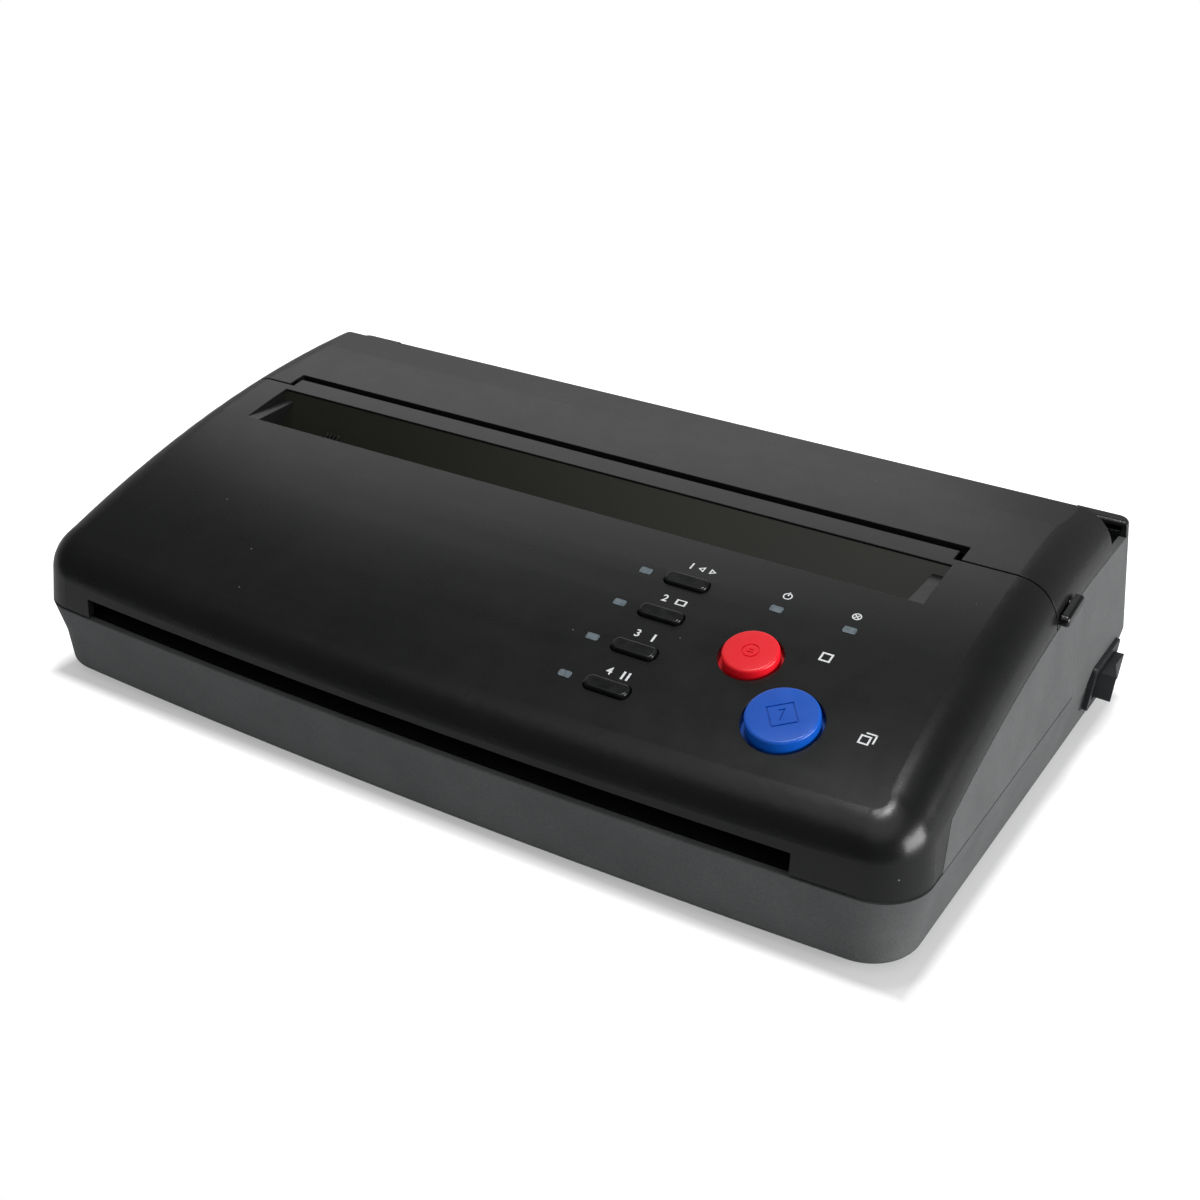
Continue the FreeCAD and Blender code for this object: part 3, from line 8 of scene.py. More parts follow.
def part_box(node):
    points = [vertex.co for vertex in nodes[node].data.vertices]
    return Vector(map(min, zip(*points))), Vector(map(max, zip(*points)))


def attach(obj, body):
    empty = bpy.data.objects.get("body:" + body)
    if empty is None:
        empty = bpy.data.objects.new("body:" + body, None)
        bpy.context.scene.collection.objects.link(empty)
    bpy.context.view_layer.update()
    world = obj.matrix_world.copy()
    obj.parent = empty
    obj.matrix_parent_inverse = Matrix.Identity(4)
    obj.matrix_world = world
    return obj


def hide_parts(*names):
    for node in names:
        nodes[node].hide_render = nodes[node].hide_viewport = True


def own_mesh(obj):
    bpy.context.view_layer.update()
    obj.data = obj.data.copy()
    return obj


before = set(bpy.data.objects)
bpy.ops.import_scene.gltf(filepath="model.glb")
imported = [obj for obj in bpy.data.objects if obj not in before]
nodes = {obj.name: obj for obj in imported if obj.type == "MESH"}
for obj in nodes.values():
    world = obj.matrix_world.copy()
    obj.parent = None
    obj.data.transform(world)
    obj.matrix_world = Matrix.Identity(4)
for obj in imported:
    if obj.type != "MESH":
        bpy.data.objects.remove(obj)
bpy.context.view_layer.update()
mm = 0.001
smoothDegrees = 35
print("frame loaded:", len(nodes), "nodes")

# The control panel lies along the arched cover: its millimetres run right, up the slope and out
panel = {"x": -2.2237, "y": -40.9, "z": 52.7017, "slope": 15.6518, "archRadius": 365.459, "wall": 2.2}
panelSpace = (Matrix.Translation(Vector((panel["x"], panel["y"], panel["z"])) * mm)
              @ Matrix.Rotation(math.radians(panel["slope"]), 4, "X") @ Matrix.Scale(mm, 4))


def archRise(v):
    # height of the arched surface over the flat panel plane, never above zero
    return math.sqrt(panel["archRadius"] ** 2 - v ** 2) - panel["archRadius"]


def onPanel(u, v):
    # a spot on the arched surface, tilted with it
    tilt = Matrix.Rotation(-math.asin(v / panel["archRadius"]), 4, "X")
    return panelSpace @ Matrix.Translation((u, v, archRise(v))) @ tilt


def hexColour(code):
    # sRGB hex to linear
    parts = [int(code[i:i + 2], 16) / 255 for i in (1, 3, 5)]
    return [p / 12.92 if p <= 0.04045 else ((p + 0.055) / 1.055) ** 2.4 for p in parts] + [1.0]


def addNode(tree, kind, inputs=None, **settings):
    # a node with its settings, its plain values and its links
    node = tree.nodes.new(kind)
    for name, value in settings.items():
        setattr(node, name, value)
    for name, value in (inputs or {}).items():
        if isinstance(value, bpy.types.NodeSocket):
            tree.links.new(value, node.inputs[name])
        else:
            node.inputs[name].default_value = value
    return node


def newMaterial(name):
    material = bpy.data.materials.new(name)
    material.use_nodes = True
    tree = material.node_tree
    tree.nodes.clear()
    shader = addNode(tree, "ShaderNodeBsdfPrincipled")
    addNode(tree, "ShaderNodeOutputMaterial", {"Surface": shader.outputs["BSDF"]})
    place = addNode(tree, "ShaderNodeTexCoord").outputs["Object"]
    return material, tree, shader, place


# A pattern's values lie round one half. Those no further from it than this are drawn out to the full range
reach = {"drift": 0.18, "grain": 0.15, "rub": 0.2, "lines": 0.2}
# Drawn lines change the gloss by this share of itself, and are this deep
lineWear = {"glossShare": 0.2, "deepMm": 0.01}


def noise(tree, place, spacingMm, detail, roughness=0.5):
    # soft random pattern, its blots about as far apart as the given spacing
    return addNode(tree, "ShaderNodeTexNoise", {"Vector": place, "Scale": 1 / (spacingMm * mm),
                                                "Detail": detail, "Roughness": roughness}).outputs["Fac"]


def stretchRange(tree, value, fromLow, fromHigh, low, high, **settings):
    return addNode(tree, "ShaderNodeMapRange", {"Value": value, "From Min": fromLow, "From Max": fromHigh,
                                                "To Min": low, "To Max": high}, **settings).outputs["Result"]


def ramp(tree, value, half, low, high):
    # from and to are set evenly round the middle of a pattern
    return stretchRange(tree, value, 0.5 - half, 0.5 + half, low, high)


def blend(tree, share, first, second):
    return addNode(tree, "ShaderNodeMix", {"Factor": share, "A": first, "B": second},
                   data_type="RGBA").outputs["Result"]


def calc(tree, operation, first, second):
    return addNode(tree, "ShaderNodeMath", {0: first, 1: second}, operation=operation).outputs[0]


def vectorCalc(tree, operation, first, second=(0, 0, 0)):
    return addNode(tree, "ShaderNodeVectorMath", {0: first, 1: second}, operation=operation)


def roughSurface(tree, shader, height, deepMm, edgeMm=None):
    # raises the surface by a pattern, and turns the light round edges, which are never quite sharp
    bump = addNode(tree, "ShaderNodeBump", {"Height": height, "Distance": deepMm * mm, "Strength": 1.0})
    if edgeMm:
        edge = addNode(tree, "ShaderNodeBevel", {"Radius": edgeMm * mm}, samples=4)
        tree.links.new(edge.outputs["Normal"], bump.inputs["Normal"])
    tree.links.new(bump.outputs["Normal"], shader.inputs["Normal"])


def mouldedPlastic(name, look):
    # colour drifts a little over the piece, grain is the mould's surface, rub is fine wear in the gloss
    material, tree, shader, place = newMaterial(name)
    drift = ramp(tree, noise(tree, place, look["driftMm"], detail=3.0), reach["drift"], 0.0, 1.0)
    tint = blend(tree, drift, hexColour(look["dark"]), hexColour(look["light"]))
    grain = noise(tree, place, look["grainMm"], detail=2.0)
    speckle = ramp(tree, grain, reach["grain"], 1 - look["speckle"], 1 + look["speckle"])
    colour = vectorCalc(tree, "MULTIPLY", tint, speckle).outputs["Vector"]
    if "dust" in look:
        # a few pale specks, in that share of cells of the given spacing
        cells = addNode(tree, "ShaderNodeTexVoronoi", {"Vector": place, "Scale": 1 / (look["dustMm"] * mm)})
        near = calc(tree, "LESS_THAN", cells.outputs["Distance"], look["speckMm"] / look["dustMm"])
        pick = addNode(tree, "ShaderNodeSeparateColor", {"Color": cells.outputs["Color"]})
        few = calc(tree, "LESS_THAN", pick.outputs["Red"], look["dust"])
        colour = blend(tree, calc(tree, "MULTIPLY", near, few), colour, hexColour(look["speckColour"]))
    tree.links.new(colour, shader.inputs["Base Color"])
    rub = noise(tree, place, look["rubMm"], detail=5.0, roughness=0.6)
    middle, spread = look["roughness"], look["roughnessSpread"]
    gloss = ramp(tree, rub, reach["rub"], middle - spread, middle + spread)
    tree.links.new(gloss, shader.inputs["Roughness"])
    roughSurface(tree, shader, grain, look["grainDeepMm"], look.get("edgeMm"))
    shader.inputs["IOR"].default_value = look.get("ior", 1.5)
    shader.inputs["Specular IOR Level"].default_value = look.get("specular", 0.5)
    shader.inputs["Transmission Weight"].default_value = look.get("clear", 0.0)
    return material


def workedMetal(name, look):
    # fine lines run along one axis, as turning, drawing or rolling leaves them
    material, tree, shader, place = newMaterial(name)
    stretch = addNode(tree, "ShaderNodeMapping", {"Vector": place, "Scale": look["lines"]})
    scratches = noise(tree, stretch.outputs["Vector"], look["lineMm"], detail=3.0)
    tint = blend(tree, scratches, hexColour(look["dark"]), hexColour(look["light"]))
    tree.links.new(tint, shader.inputs["Base Color"])
    middle, share = look["roughness"], lineWear["glossShare"]
    gloss = ramp(tree, scratches, reach["lines"], middle * (1 - share), middle * (1 + share))
    tree.links.new(gloss, shader.inputs["Roughness"])
    roughSurface(tree, shader, scratches, lineWear["deepMm"])
    shader.inputs["Metallic"].default_value = look["metallic"]
    return material


# ABS moulded in a finely blasted steel mould: satin, very black, with wide soft highlights
satinAbs = mouldedPlastic("satin black ABS", {
    "dark": "#141515", "light": "#181918", "driftMm": 60, "grainMm": 0.6, "grainDeepMm": 0.0015,
    "speckle": 0.03, "rubMm": 9, "roughness": 0.28, "roughnessSpread": 0.02, "specular": 0.4,
    "edgeMm": 0.35, "dust": 0.12, "dustMm": 7, "speckColour": "#6f7376", "speckMm": 0.22})
# The same ABS from a spark-eroded mould: matte and dusty grey. Its real grain of 0.1 mm is drawn at 0.6 mm
erodedAbs = mouldedPlastic("spark-eroded black ABS", {
    "dark": "#4f5151", "light": "#585a5a", "driftMm": 14, "grainMm": 0.6, "grainDeepMm": 0.02,
    "speckle": 0.1, "rubMm": 14, "roughness": 0.55, "roughnessSpread": 0.05, "edgeMm": 0.35})
# Polished black ABS of small trim: sharp reflections with faint handling marks
glossAbs = mouldedPlastic("polished black ABS", {
    "dark": "#101112", "light": "#161718", "driftMm": 15, "grainMm": 0.4, "grainDeepMm": 0.001,
    "speckle": 0.02, "rubMm": 3, "roughness": 0.24, "roughnessSpread": 0.05, "edgeMm": 0.25})
# Nylon of the switch: duller, slightly waxy
blackNylon = mouldedPlastic("black nylon", {
    "dark": "#1b1c1e", "light": "#232527", "driftMm": 10, "grainMm": 0.4, "grainDeepMm": 0.004,
    "speckle": 0.05, "rubMm": 4, "roughness": 0.42, "roughnessSpread": 0.05, "edgeMm": 0.25})
# Clear acrylic dyed brown-green: glassy, and dark because nothing behind it is lit
smokedAcrylic = mouldedPlastic("smoked acrylic", {
    "dark": "#20211a", "light": "#26271e", "driftMm": 90, "grainMm": 1.5, "grainDeepMm": 0.0005,
    "speckle": 0.02, "rubMm": 12, "roughness": 0.16, "roughnessSpread": 0.02, "ior": 1.49, "clear": 0.2,
    "specular": 0.4})
# Coloured ABS of the two round buttons: bright pigment under a smooth skin
redAbs = mouldedPlastic("red ABS", {
    "dark": "#ee1221", "light": "#f61828", "driftMm": 12, "grainMm": 0.5, "grainDeepMm": 0.001,
    "speckle": 0.015, "rubMm": 4, "roughness": 0.33, "roughnessSpread": 0.03})
blueAbs = mouldedPlastic("blue ABS", {
    "dark": "#0853bd", "light": "#0b5bc8", "driftMm": 12, "grainMm": 0.5, "grainDeepMm": 0.001,
    "speckle": 0.015, "rubMm": 4, "roughness": 0.33, "roughnessSpread": 0.03})
# Milky light pipe, unlit
milkyLens = mouldedPlastic("milky polycarbonate", {
    "dark": "#67747b", "light": "#7a878e", "driftMm": 2, "grainMm": 0.6, "grainDeepMm": 0.003,
    "speckle": 0.05, "rubMm": 2, "roughness": 0.3, "roughnessSpread": 0.05, "clear": 0.15})
# Acetal: off-white and slippery, as gears and bushes are
naturalAcetal = mouldedPlastic("natural acetal", {
    "dark": "#d2cfc2", "light": "#dedbd0", "driftMm": 8, "grainMm": 0.6, "grainDeepMm": 0.004,
    "speckle": 0.02, "rubMm": 3, "roughness": 0.36, "roughnessSpread": 0.05})
# Ground silicone sleeve of a roller
siliconeRubber = mouldedPlastic("ground silicone rubber", {
    "dark": "#26221f", "light": "#2d2926", "driftMm": 20, "grainMm": 0.6, "grainDeepMm": 0.01,
    "speckle": 0.05, "rubMm": 10, "roughness": 0.68, "roughnessSpread": 0.06})
# Moulded rubber feet, dusted from use
footRubber = mouldedPlastic("moulded foot rubber", {
    "dark": "#1c1c1c", "light": "#272727", "driftMm": 4, "grainMm": 0.6, "grainDeepMm": 0.02,
    "speckle": 0.1, "rubMm": 3, "roughness": 0.8, "roughnessSpread": 0.06})
# Glass-filled housing of the scan bar: dull, with fibres near the skin
filledNylon = mouldedPlastic("glass-filled nylon", {
    "dark": "#202122", "light": "#292a2c", "driftMm": 6, "grainMm": 0.6, "grainDeepMm": 0.012,
    "speckle": 0.12, "rubMm": 5, "roughness": 0.5, "roughnessSpread": 0.05})
# Moulded epoxy of chips and transformer
epoxyBlack = mouldedPlastic("moulded epoxy", {
    "dark": "#1b1b1d", "light": "#232325", "driftMm": 5, "grainMm": 0.6, "grainDeepMm": 0.01,
    "speckle": 0.08, "rubMm": 4, "roughness": 0.6, "roughnessSpread": 0.05})
# Clear glass strip over the scan bar: greenish at its edges, nearly all light goes through
clearGlass = mouldedPlastic("float glass", {
    "dark": "#c8d4d2", "light": "#d2dcda", "driftMm": 50, "grainMm": 2.0, "grainDeepMm": 0.0003,
    "speckle": 0.01, "rubMm": 20, "roughness": 0.04, "roughnessSpread": 0.01, "ior": 1.52,
    "clear": 0.9})
# Silk-screen ink: matte off-white with slightly uneven cover
screenInk = mouldedPlastic("silk-screen ink", {
    "dark": "#e2e6e8", "light": "#f4f6f7", "driftMm": 1.5, "grainMm": 0.3, "grainDeepMm": 0.001,
    "speckle": 0.04, "rubMm": 1, "roughness": 0.5, "roughnessSpread": 0.05})
# Ground steel shafts: lines run round them, so they are drawn out across the length
groundSteel = workedMetal("ground steel", {
    "dark": "#8f9092", "light": "#c2c3c4", "lines": (12.0, 1.0, 1.0), "lineMm": 2.0, "roughness": 0.28,
    "metallic": 1.0})
# Patented spring wire, drawn: brighter, with lines round the coil
springWire = workedMetal("drawn spring wire", {
    "dark": "#9a9ca0", "light": "#cfd1d3", "lines": (4.0, 4.0, 1.0), "lineMm": 0.8, "roughness": 0.25,
    "metallic": 1.0})
# Rolled sheet steel, blackened: lines run along its rolling direction
blackSheet = workedMetal("blackened sheet steel", {
    "dark": "#2b2c2e", "light": "#3b3c3f", "lines": (1.0, 14.0, 14.0), "lineMm": 8.0, "roughness": 0.42,
    "metallic": 0.85})
zincSheet = workedMetal("zinc plated steel", {
    "dark": "#8a8d90", "light": "#b4b7ba", "lines": (1.0, 6.0, 6.0), "lineMm": 5.0, "roughness": 0.34,
    "metallic": 1.0})
turnedBrass = workedMetal("turned brass", {
    "dark": "#a8813f", "light": "#cfa65c", "lines": (10.0, 1.0, 1.0), "lineMm": 1.5, "roughness": 0.25,
    "metallic": 1.0})
headAluminium = workedMetal("milled aluminium", {
    "dark": "#a5a7a8", "light": "#c6c8c9", "lines": (0.3, 10.0, 10.0), "lineMm": 3.0, "roughness": 0.32,
    "metallic": 1.0})


def laminate(name, look):
    # glass-fibre laminate under solder mask: copper tracks show as paler green lines
    material, tree, shader, place = newMaterial(name)
    tracks = addNode(tree, "ShaderNodeTexBrick", {
        "Vector": place, "Scale": 1 / (look["blockMm"] * mm), "Color1": hexColour(look["mask"]),
        "Color2": hexColour(look["maskDark"]), "Mortar": hexColour(look["track"]),
        "Mortar Size": look["trackShare"], "Brick Width": 1.0,
        "Row Height": look["trackPitchMm"] / look["blockMm"]})
    weave = noise(tree, place, look["weaveMm"], detail=2.0)
    mottle = blend(tree, weave, tracks.outputs["Color"], hexColour(look["fibre"]))
    tree.links.new(mottle, shader.inputs["Base Color"])
    roughSurface(tree, shader, tracks.outputs["Fac"], look["trackHighMm"])
    shader.inputs["Roughness"].default_value = look["roughness"]
    return material


def inletNylon(name, look):
    # black nylon whose two contact pins are nickel: the pins are told by their place
    material, tree, shader, place = newMaterial(name)
    low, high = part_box("power_inlet")
    middle = (low + high) / 2
    axes = addNode(tree, "ShaderNodeSeparateXYZ", {"Vector": place})
    flat = addNode(tree, "ShaderNodeCombineXYZ", {"X": axes.outputs["X"], "Z": axes.outputs["Z"]})
    pins = []
    for side in (-1, 1):
        centre = (middle.x + side * look["pinPitchMm"] / 2 * mm, 0.0, middle.z)
        away = vectorCalc(tree, "DISTANCE", flat.outputs["Vector"], centre).outputs["Value"]
        pins.append(calc(tree, "LESS_THAN", away, look["pinRadiusMm"] * mm))
    metal = calc(tree, "MAXIMUM", pins[0], pins[1])
    grain = noise(tree, place, look["grainMm"], detail=2.0)
    black = blend(tree, grain, hexColour(look["dark"]), hexColour(look["light"]))
    tint = blend(tree, metal, black, hexColour(look["nickel"]))
    tree.links.new(tint, shader.inputs["Base Color"])
    tree.links.new(metal, shader.inputs["Metallic"])
    roughSurface(tree, shader, grain, look["grainDeepMm"])
    shader.inputs["Roughness"].default_value = look["roughness"]
    return material


greenLaminate = laminate("green laminate", {
    "blockMm": 10.16, "trackPitchMm": 2.54, "trackShare": 0.05, "trackHighMm": 0.03, "mask": "#0d4a26",
    "maskDark": "#0b3f21", "track": "#1d7a42", "fibre": "#12552c", "weaveMm": 0.8, "roughness": 0.3})
pinnedNylon = inletNylon("black nylon with nickel pins", {
    "dark": "#18191a", "light": "#222324", "nickel": "#bdb9ae", "grainMm": 0.5, "grainDeepMm": 0.004,
    "roughness": 0.35, "pinPitchMm": 8.6, "pinRadiusMm": 1.13})
finishes = {
    "front_cover": satinAbs, "rear_cover": satinAbs, "base_tray": erodedAbs,
    "side_panel_left": erodedAbs, "side_panel_right": erodedAbs, "smoked_window": smokedAcrylic,
    "sensor_comb": glossAbs, "rear_bar": glossAbs, "latch_lever": glossAbs,
    "power_switch_housing": blackNylon, "power_rocker": blackNylon, "power_inlet": pinnedNylon,
    "indicator_lenses": milkyLens, "tact_switches": epoxyBlack, "control_board": greenLaminate,
    "main_board": greenLaminate, "power_board": greenLaminate, "board_chips": epoxyBlack,
    "power_transformer": epoxyBlack, "power_capacitors": glossAbs, "left_side_plate": blackSheet,
    "right_side_plate": blackSheet, "front_paper_guide": blackSheet, "rear_paper_guide": blackSheet,
    "stencil_paper_chute": blackSheet, "head_stop_bar": blackSheet, "motor_bracket": zincSheet,
    "motor_can": zincSheet, "head_carrier": blackSheet, "print_head": headAluminium,
    "scan_module": filledNylon, "scan_glass": clearGlass, "head_springs": springWire,
    "latch_catch": groundSteel, "hinge_pins": groundSteel, "case_screws": zincSheet,
    "rubber_feet": footRubber, "paper_flag_stand": glossAbs, "paper_flag": naturalAcetal,
    "shaft_bushes": naturalAcetal, "platen_shaft": groundSteel, "feed_shaft": groundSteel,
    "motor_shaft": groundSteel, "platen_rubber": siliconeRubber, "feed_rubber": siliconeRubber,
    "platen_gear": naturalAcetal, "feed_gear": naturalAcetal, "upper_idler_gear": naturalAcetal,
    "lower_idler_gear": naturalAcetal, "motor_pinion": turnedBrass, "mode_key_1": glossAbs,
    "mode_key_2": glossAbs, "mode_key_3": glossAbs, "mode_key_4": glossAbs, "stop_button": redAbs,
    "start_button": blueAbs}
for name, node in nodes.items():
    node.data.materials.clear()
    node.data.materials.append(finishes[name])
print("finishes set on", len(finishes), "nodes")


def smoothOver(mesh):
    # shades rounded wherever two faces meet at a small angle
    for face in mesh.polygons:
        face.use_smooth = True
    mesh.set_sharp_from_angle(angle=math.radians(smoothDegrees))


def pieceFrom(name, shape, material, body):
    # finished pieces sit at the origin with their place in the mesh
    mesh = bpy.data.meshes.new(name)
    shape.to_mesh(mesh)
    shape.free()
    smoothOver(mesh)
    piece = bpy.data.objects.new(name, mesh)
    bpy.context.scene.collection.objects.link(piece)
    mesh.materials.append(material)
    if body:
        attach(piece, body)
    return piece


def turned(shape, profile, steps):
    # turns a profile of (radius, height) points about the upright axis into a closed skin
    verts = [shape.verts.new((radius, 0.0, height)) for radius, height in profile]
    edges = [shape.edges.new(pair) for pair in zip(verts, verts[1:])]
    if profile[0][0] > 0:
        edges.append(shape.edges.new((verts[-1], verts[0])))
    bmesh.ops.spin(shape, geom=verts + edges, cent=(0, 0, 0), axis=(0, 0, 1), dvec=(0, 0, 0),
                   angle=math.tau, steps=steps, use_merge=True)
    bmesh.ops.remove_doubles(shape, verts=shape.verts, dist=0.0001)
    bmesh.ops.recalc_face_normals(shape, faces=shape.faces)


def bar(shape, start, end, wide, low, high):
    # an upright block under a straight stroke, with half its width past each end
    run = Vector((end[0] - start[0], end[1] - start[1], 0))
    at = Vector(((start[0] + end[0]) / 2, (start[1] + end[1]) / 2, (low + high) / 2))
    size = Matrix.Diagonal((run.length + wide, wide, high - low, 1))
    turn = Matrix.Rotation(math.atan2(run.y, run.x), 4, "Z")
    bmesh.ops.create_cube(shape, size=1.0, matrix=Matrix.Translation(at) @ turn @ size)


def cutInto(piece, cutter):
    # carves one closed shape out of another and keeps only the result
    carve = piece.modifiers.new("carve", "BOOLEAN")
    carve.operation = "DIFFERENCE"
    carve.solver = "EXACT"
    carve.use_self = True
    carve.object = cutter
    bpy.context.view_layer.update()
    done = bpy.data.meshes.new_from_object(piece.evaluated_get(bpy.context.evaluated_depsgraph_get()))
    piece.modifiers.clear()
    old, piece.data = piece.data, done
    done.name = piece.name
    bpy.data.meshes.remove(old)
    bpy.data.objects.remove(cutter)


# Both round buttons: a cap with a rounded rim, a lip hidden under the cover and a stem down to its switch
roundCap = {"edge": 0.7, "rimSteps": 6, "lip": 2.0, "lipGap": 0.3, "lipThick": 1.0, "stem": 1.6,
            "stemLow": -6.4, "sides": 96, "deep": 0.32, "cutterOver": 1.0}
# Stop button: red, with a ring round two short strokes pressed into its top
stopCap = {**roundCap, "u": 78.5, "v": 2.4, "radius": 7.45, "rise": 2.2, "ring": 2.35, "ringSides": 48,
           "groove": 0.4, "strokes": (((-0.75, -0.55), (0.75, -0.55)), ((-0.45, 0.35), (0.55, 0.35)))}
# Start button: blue, with a slanted square round a hooked stroke
startCap = {**roundCap, "u": 95.7, "v": -14.2, "radius": 9.4, "rise": 2.5, "side": 3.3, "turn": 37.0,
            "groove": 0.42, "strokes": (((-0.9, -1.7), (0.9, 1.6)), ((0.9, 1.6), (-0.4, 1.6)))}


def capProfile(cap):
    # from the middle of the top out over the rounded rim, down the skirt, round the hidden lip and the stem
    surface = archRise(cap["v"])
    top = surface + cap["rise"]
    lipTop = archRise(abs(cap["v"]) + cap["radius"] + cap["lip"]) - panel["wall"] - cap["lipGap"]
    lipLow = lipTop - cap["lipThick"]
    rim = []
    for step in range(cap["rimSteps"] + 1):
        a = math.radians(90 - 90 * step / cap["rimSteps"])
        rim.append((cap["radius"] - cap["edge"] * (1 - math.cos(a)), top - cap["edge"] * (1 - math.sin(a))))
    return top, ([(0.0, top)] + rim + [(cap["radius"], lipTop), (cap["radius"] + cap["lip"], lipTop),
                                       (cap["radius"] + cap["lip"], lipLow), (cap["stem"], lipLow),
                                       (cap["stem"], cap["stemLow"]), (0.0, cap["stemLow"])])


def capPiece(name, cap, material, body, node, marks):
    top, profile = capProfile(cap)
    shape = bmesh.new()
    turned(shape, profile, cap["sides"])
    piece = pieceFrom(name, shape, material, None)
    cutter = bmesh.new()
    marks(cutter, cap, top - cap["deep"], top + cap["cutterOver"])
    cutInto(piece, pieceFrom(name + "Cutter", cutter, material, None))
    piece.data.transform(panelSpace @ Matrix.Translation((cap["u"], cap["v"], 0.0)))
    smoothOver(piece.data)
    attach(piece, body)
    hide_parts(node)
    return piece


def stopMarks(shape, cap, low, high):
    ring, wide = cap["ring"], cap["groove"]
    turned(shape, [(ring - wide, low), (ring, low), (ring, high), (ring - wide, high)], cap["ringSides"])
    for start, end in cap["strokes"]:
        bar(shape, start, end, wide, low, high)


def startMarks(shape, cap, low, high):
    half, wide = cap["side"], cap["groove"]
    spin = Matrix.Rotation(math.radians(cap["turn"]), 2)
    corners = [spin @ Vector(c) for c in ((-half, -half), (half, -half), (half, half), (-half, half))]
    for first, second in zip(corners, corners[1:] + corners[:1]):
        bar(shape, first, second, wide, low, high)
    for start, end in cap["strokes"]:
        bar(shape, spin @ Vector(start), spin @ Vector(end), wide, low, high)


capPiece("stopCap", stopCap, redAbs, "stop_button", "stop_button", stopMarks)
capPiece("startCap", startCap, blueAbs, "start_button", "start_button", startMarks)
print("button caps carved")

# White ink on the panel: a number beside each of the four keys, and plain signs
ink = {"thick": 0.03, "line": 0.34, "digitU": 47.4, "digitHigh": 2.5, "digitRows": (27.6, 13.1, -1.4, -15.9),
       "digitShare": 0.7, "digitSteps": 6, "digitBolder": 0.04}
# Each sign is an outline with so many sides, one or two straight strokes, or both
signs = [
    {"at": (50.7, 27.6), "sides": 3, "radius": 1.25, "turn": 90.0},
    {"at": (53.7, 27.6), "sides": 3, "radius": 1.25, "turn": -90.0},
    {"at": (52.2, 13.1), "sides": 4, "radius": 1.45, "turn": 45.0, "stretch": 1.5},
    {"at": (52.2, -1.4), "line": 0.6, "strokes": [((0, -1.05), (0, 1.05))]},
    {"at": (51.45, -15.9), "line": 0.6, "strokes": [((0, -1.05), (0, 1.05))]},
    {"at": (52.95, -15.9), "line": 0.6, "strokes": [((0, -1.05), (0, 1.05))]},
    {"at": (95.9, 9.4), "line": 0.5, "sides": 4, "radius": 2.2, "turn": 45.0},
    {"at": (116.2, -12.0), "line": 0.45, "sides": 4, "radius": 2.0, "turn": 45.0,
     "strokes": [((-0.2, 2.2), (2.3, 2.2)), ((2.3, -0.3), (2.3, 2.2))]},
    {"at": (76.6, 26.6), "sides": 32, "radius": 1.3, "strokes": [((0, 0.3), (0, 1.5))]},
    {"at": (96.4, 26.4), "sides": 32, "radius": 1.3,
     "strokes": [((-0.5, -0.5), (0.5, 0.5)), ((-0.5, 0.5), (0.5, -0.5))]}]


def inkDigit(shape, digit, u, v, high):
    # Blender's own typeface, made a mesh before it is placed
    letters = bpy.data.curves.new("digit", "FONT")
    letters.body = digit
    letters.size = high / ink["digitShare"]
    letters.align_x = "CENTER"
    letters.align_y = "CENTER"
    letters.resolution_u = ink["digitSteps"]
    letters.offset = ink["digitBolder"]
    holder = bpy.data.objects.new("digit", letters)
    mesh = bpy.data.meshes.new_from_object(holder)
    part = bmesh.new()
    part.from_mesh(mesh)
    bmesh.ops.transform(part, matrix=onPanel(u, v), verts=part.verts)
    mesh.clear_geometry()
    part.to_mesh(mesh)
    part.free()
    shape.from_mesh(mesh)
    bpy.data.objects.remove(holder)
    bpy.data.meshes.remove(mesh)
    bpy.data.curves.remove(letters)


def inkLine(shape, u, v, start, end, wide):
    # a straight stroke, flat on the panel
    run = Vector((end[0] - start[0], end[1] - start[1]))
    at = Matrix.Translation(((start[0] + end[0]) / 2, (start[1] + end[1]) / 2, 0))
    turn = Matrix.Rotation(math.atan2(run.y, run.x), 4, "Z")
    size = Matrix.Diagonal((run.length + wide, wide, 1, 1))
    bmesh.ops.create_grid(shape, x_segments=1, y_segments=1, size=0.5,
                          matrix=onPanel(u, v) @ at @ turn @ size)


def inkOutline(shape, u, v, sides, radius, wide, turn=0.0, stretch=1.0):
    # a regular outline, such as a ring or a square, from a disc whose middle is taken out
    made = bmesh.ops.create_circle(shape, cap_ends=True, segments=sides, radius=radius,
                                   matrix=Matrix.Rotation(math.radians(turn), 4, "Z"))
    disc = made["verts"][0].link_faces[0]
    bmesh.ops.inset_region(shape, faces=[disc], thickness=wide, use_boundary=True, use_even_offset=True)
    verts = set(made["verts"]) | set(disc.verts)
    bmesh.ops.delete(shape, geom=[disc], context="FACES_ONLY")
    bmesh.ops.transform(shape, matrix=onPanel(u, v) @ Matrix.Scale(stretch, 4, (1, 0, 0)), verts=list(verts))


marks = bmesh.new()
for number, v in enumerate(ink["digitRows"], start=1):
    inkDigit(marks, str(number), ink["digitU"], v, ink["digitHigh"])
for sign in signs:
    u, v = sign["at"]
    line = sign.get("line", ink["line"])
    if "sides" in sign:
        inkOutline(marks, u, v, sign["sides"], sign["radius"], line, sign.get("turn", 0.0),
                   sign.get("stretch", 1.0))
    for start, end in sign.get("strokes", []):
        inkLine(marks, u, v, start, end, line)
bmesh.ops.recalc_face_normals(marks, faces=marks.faces)
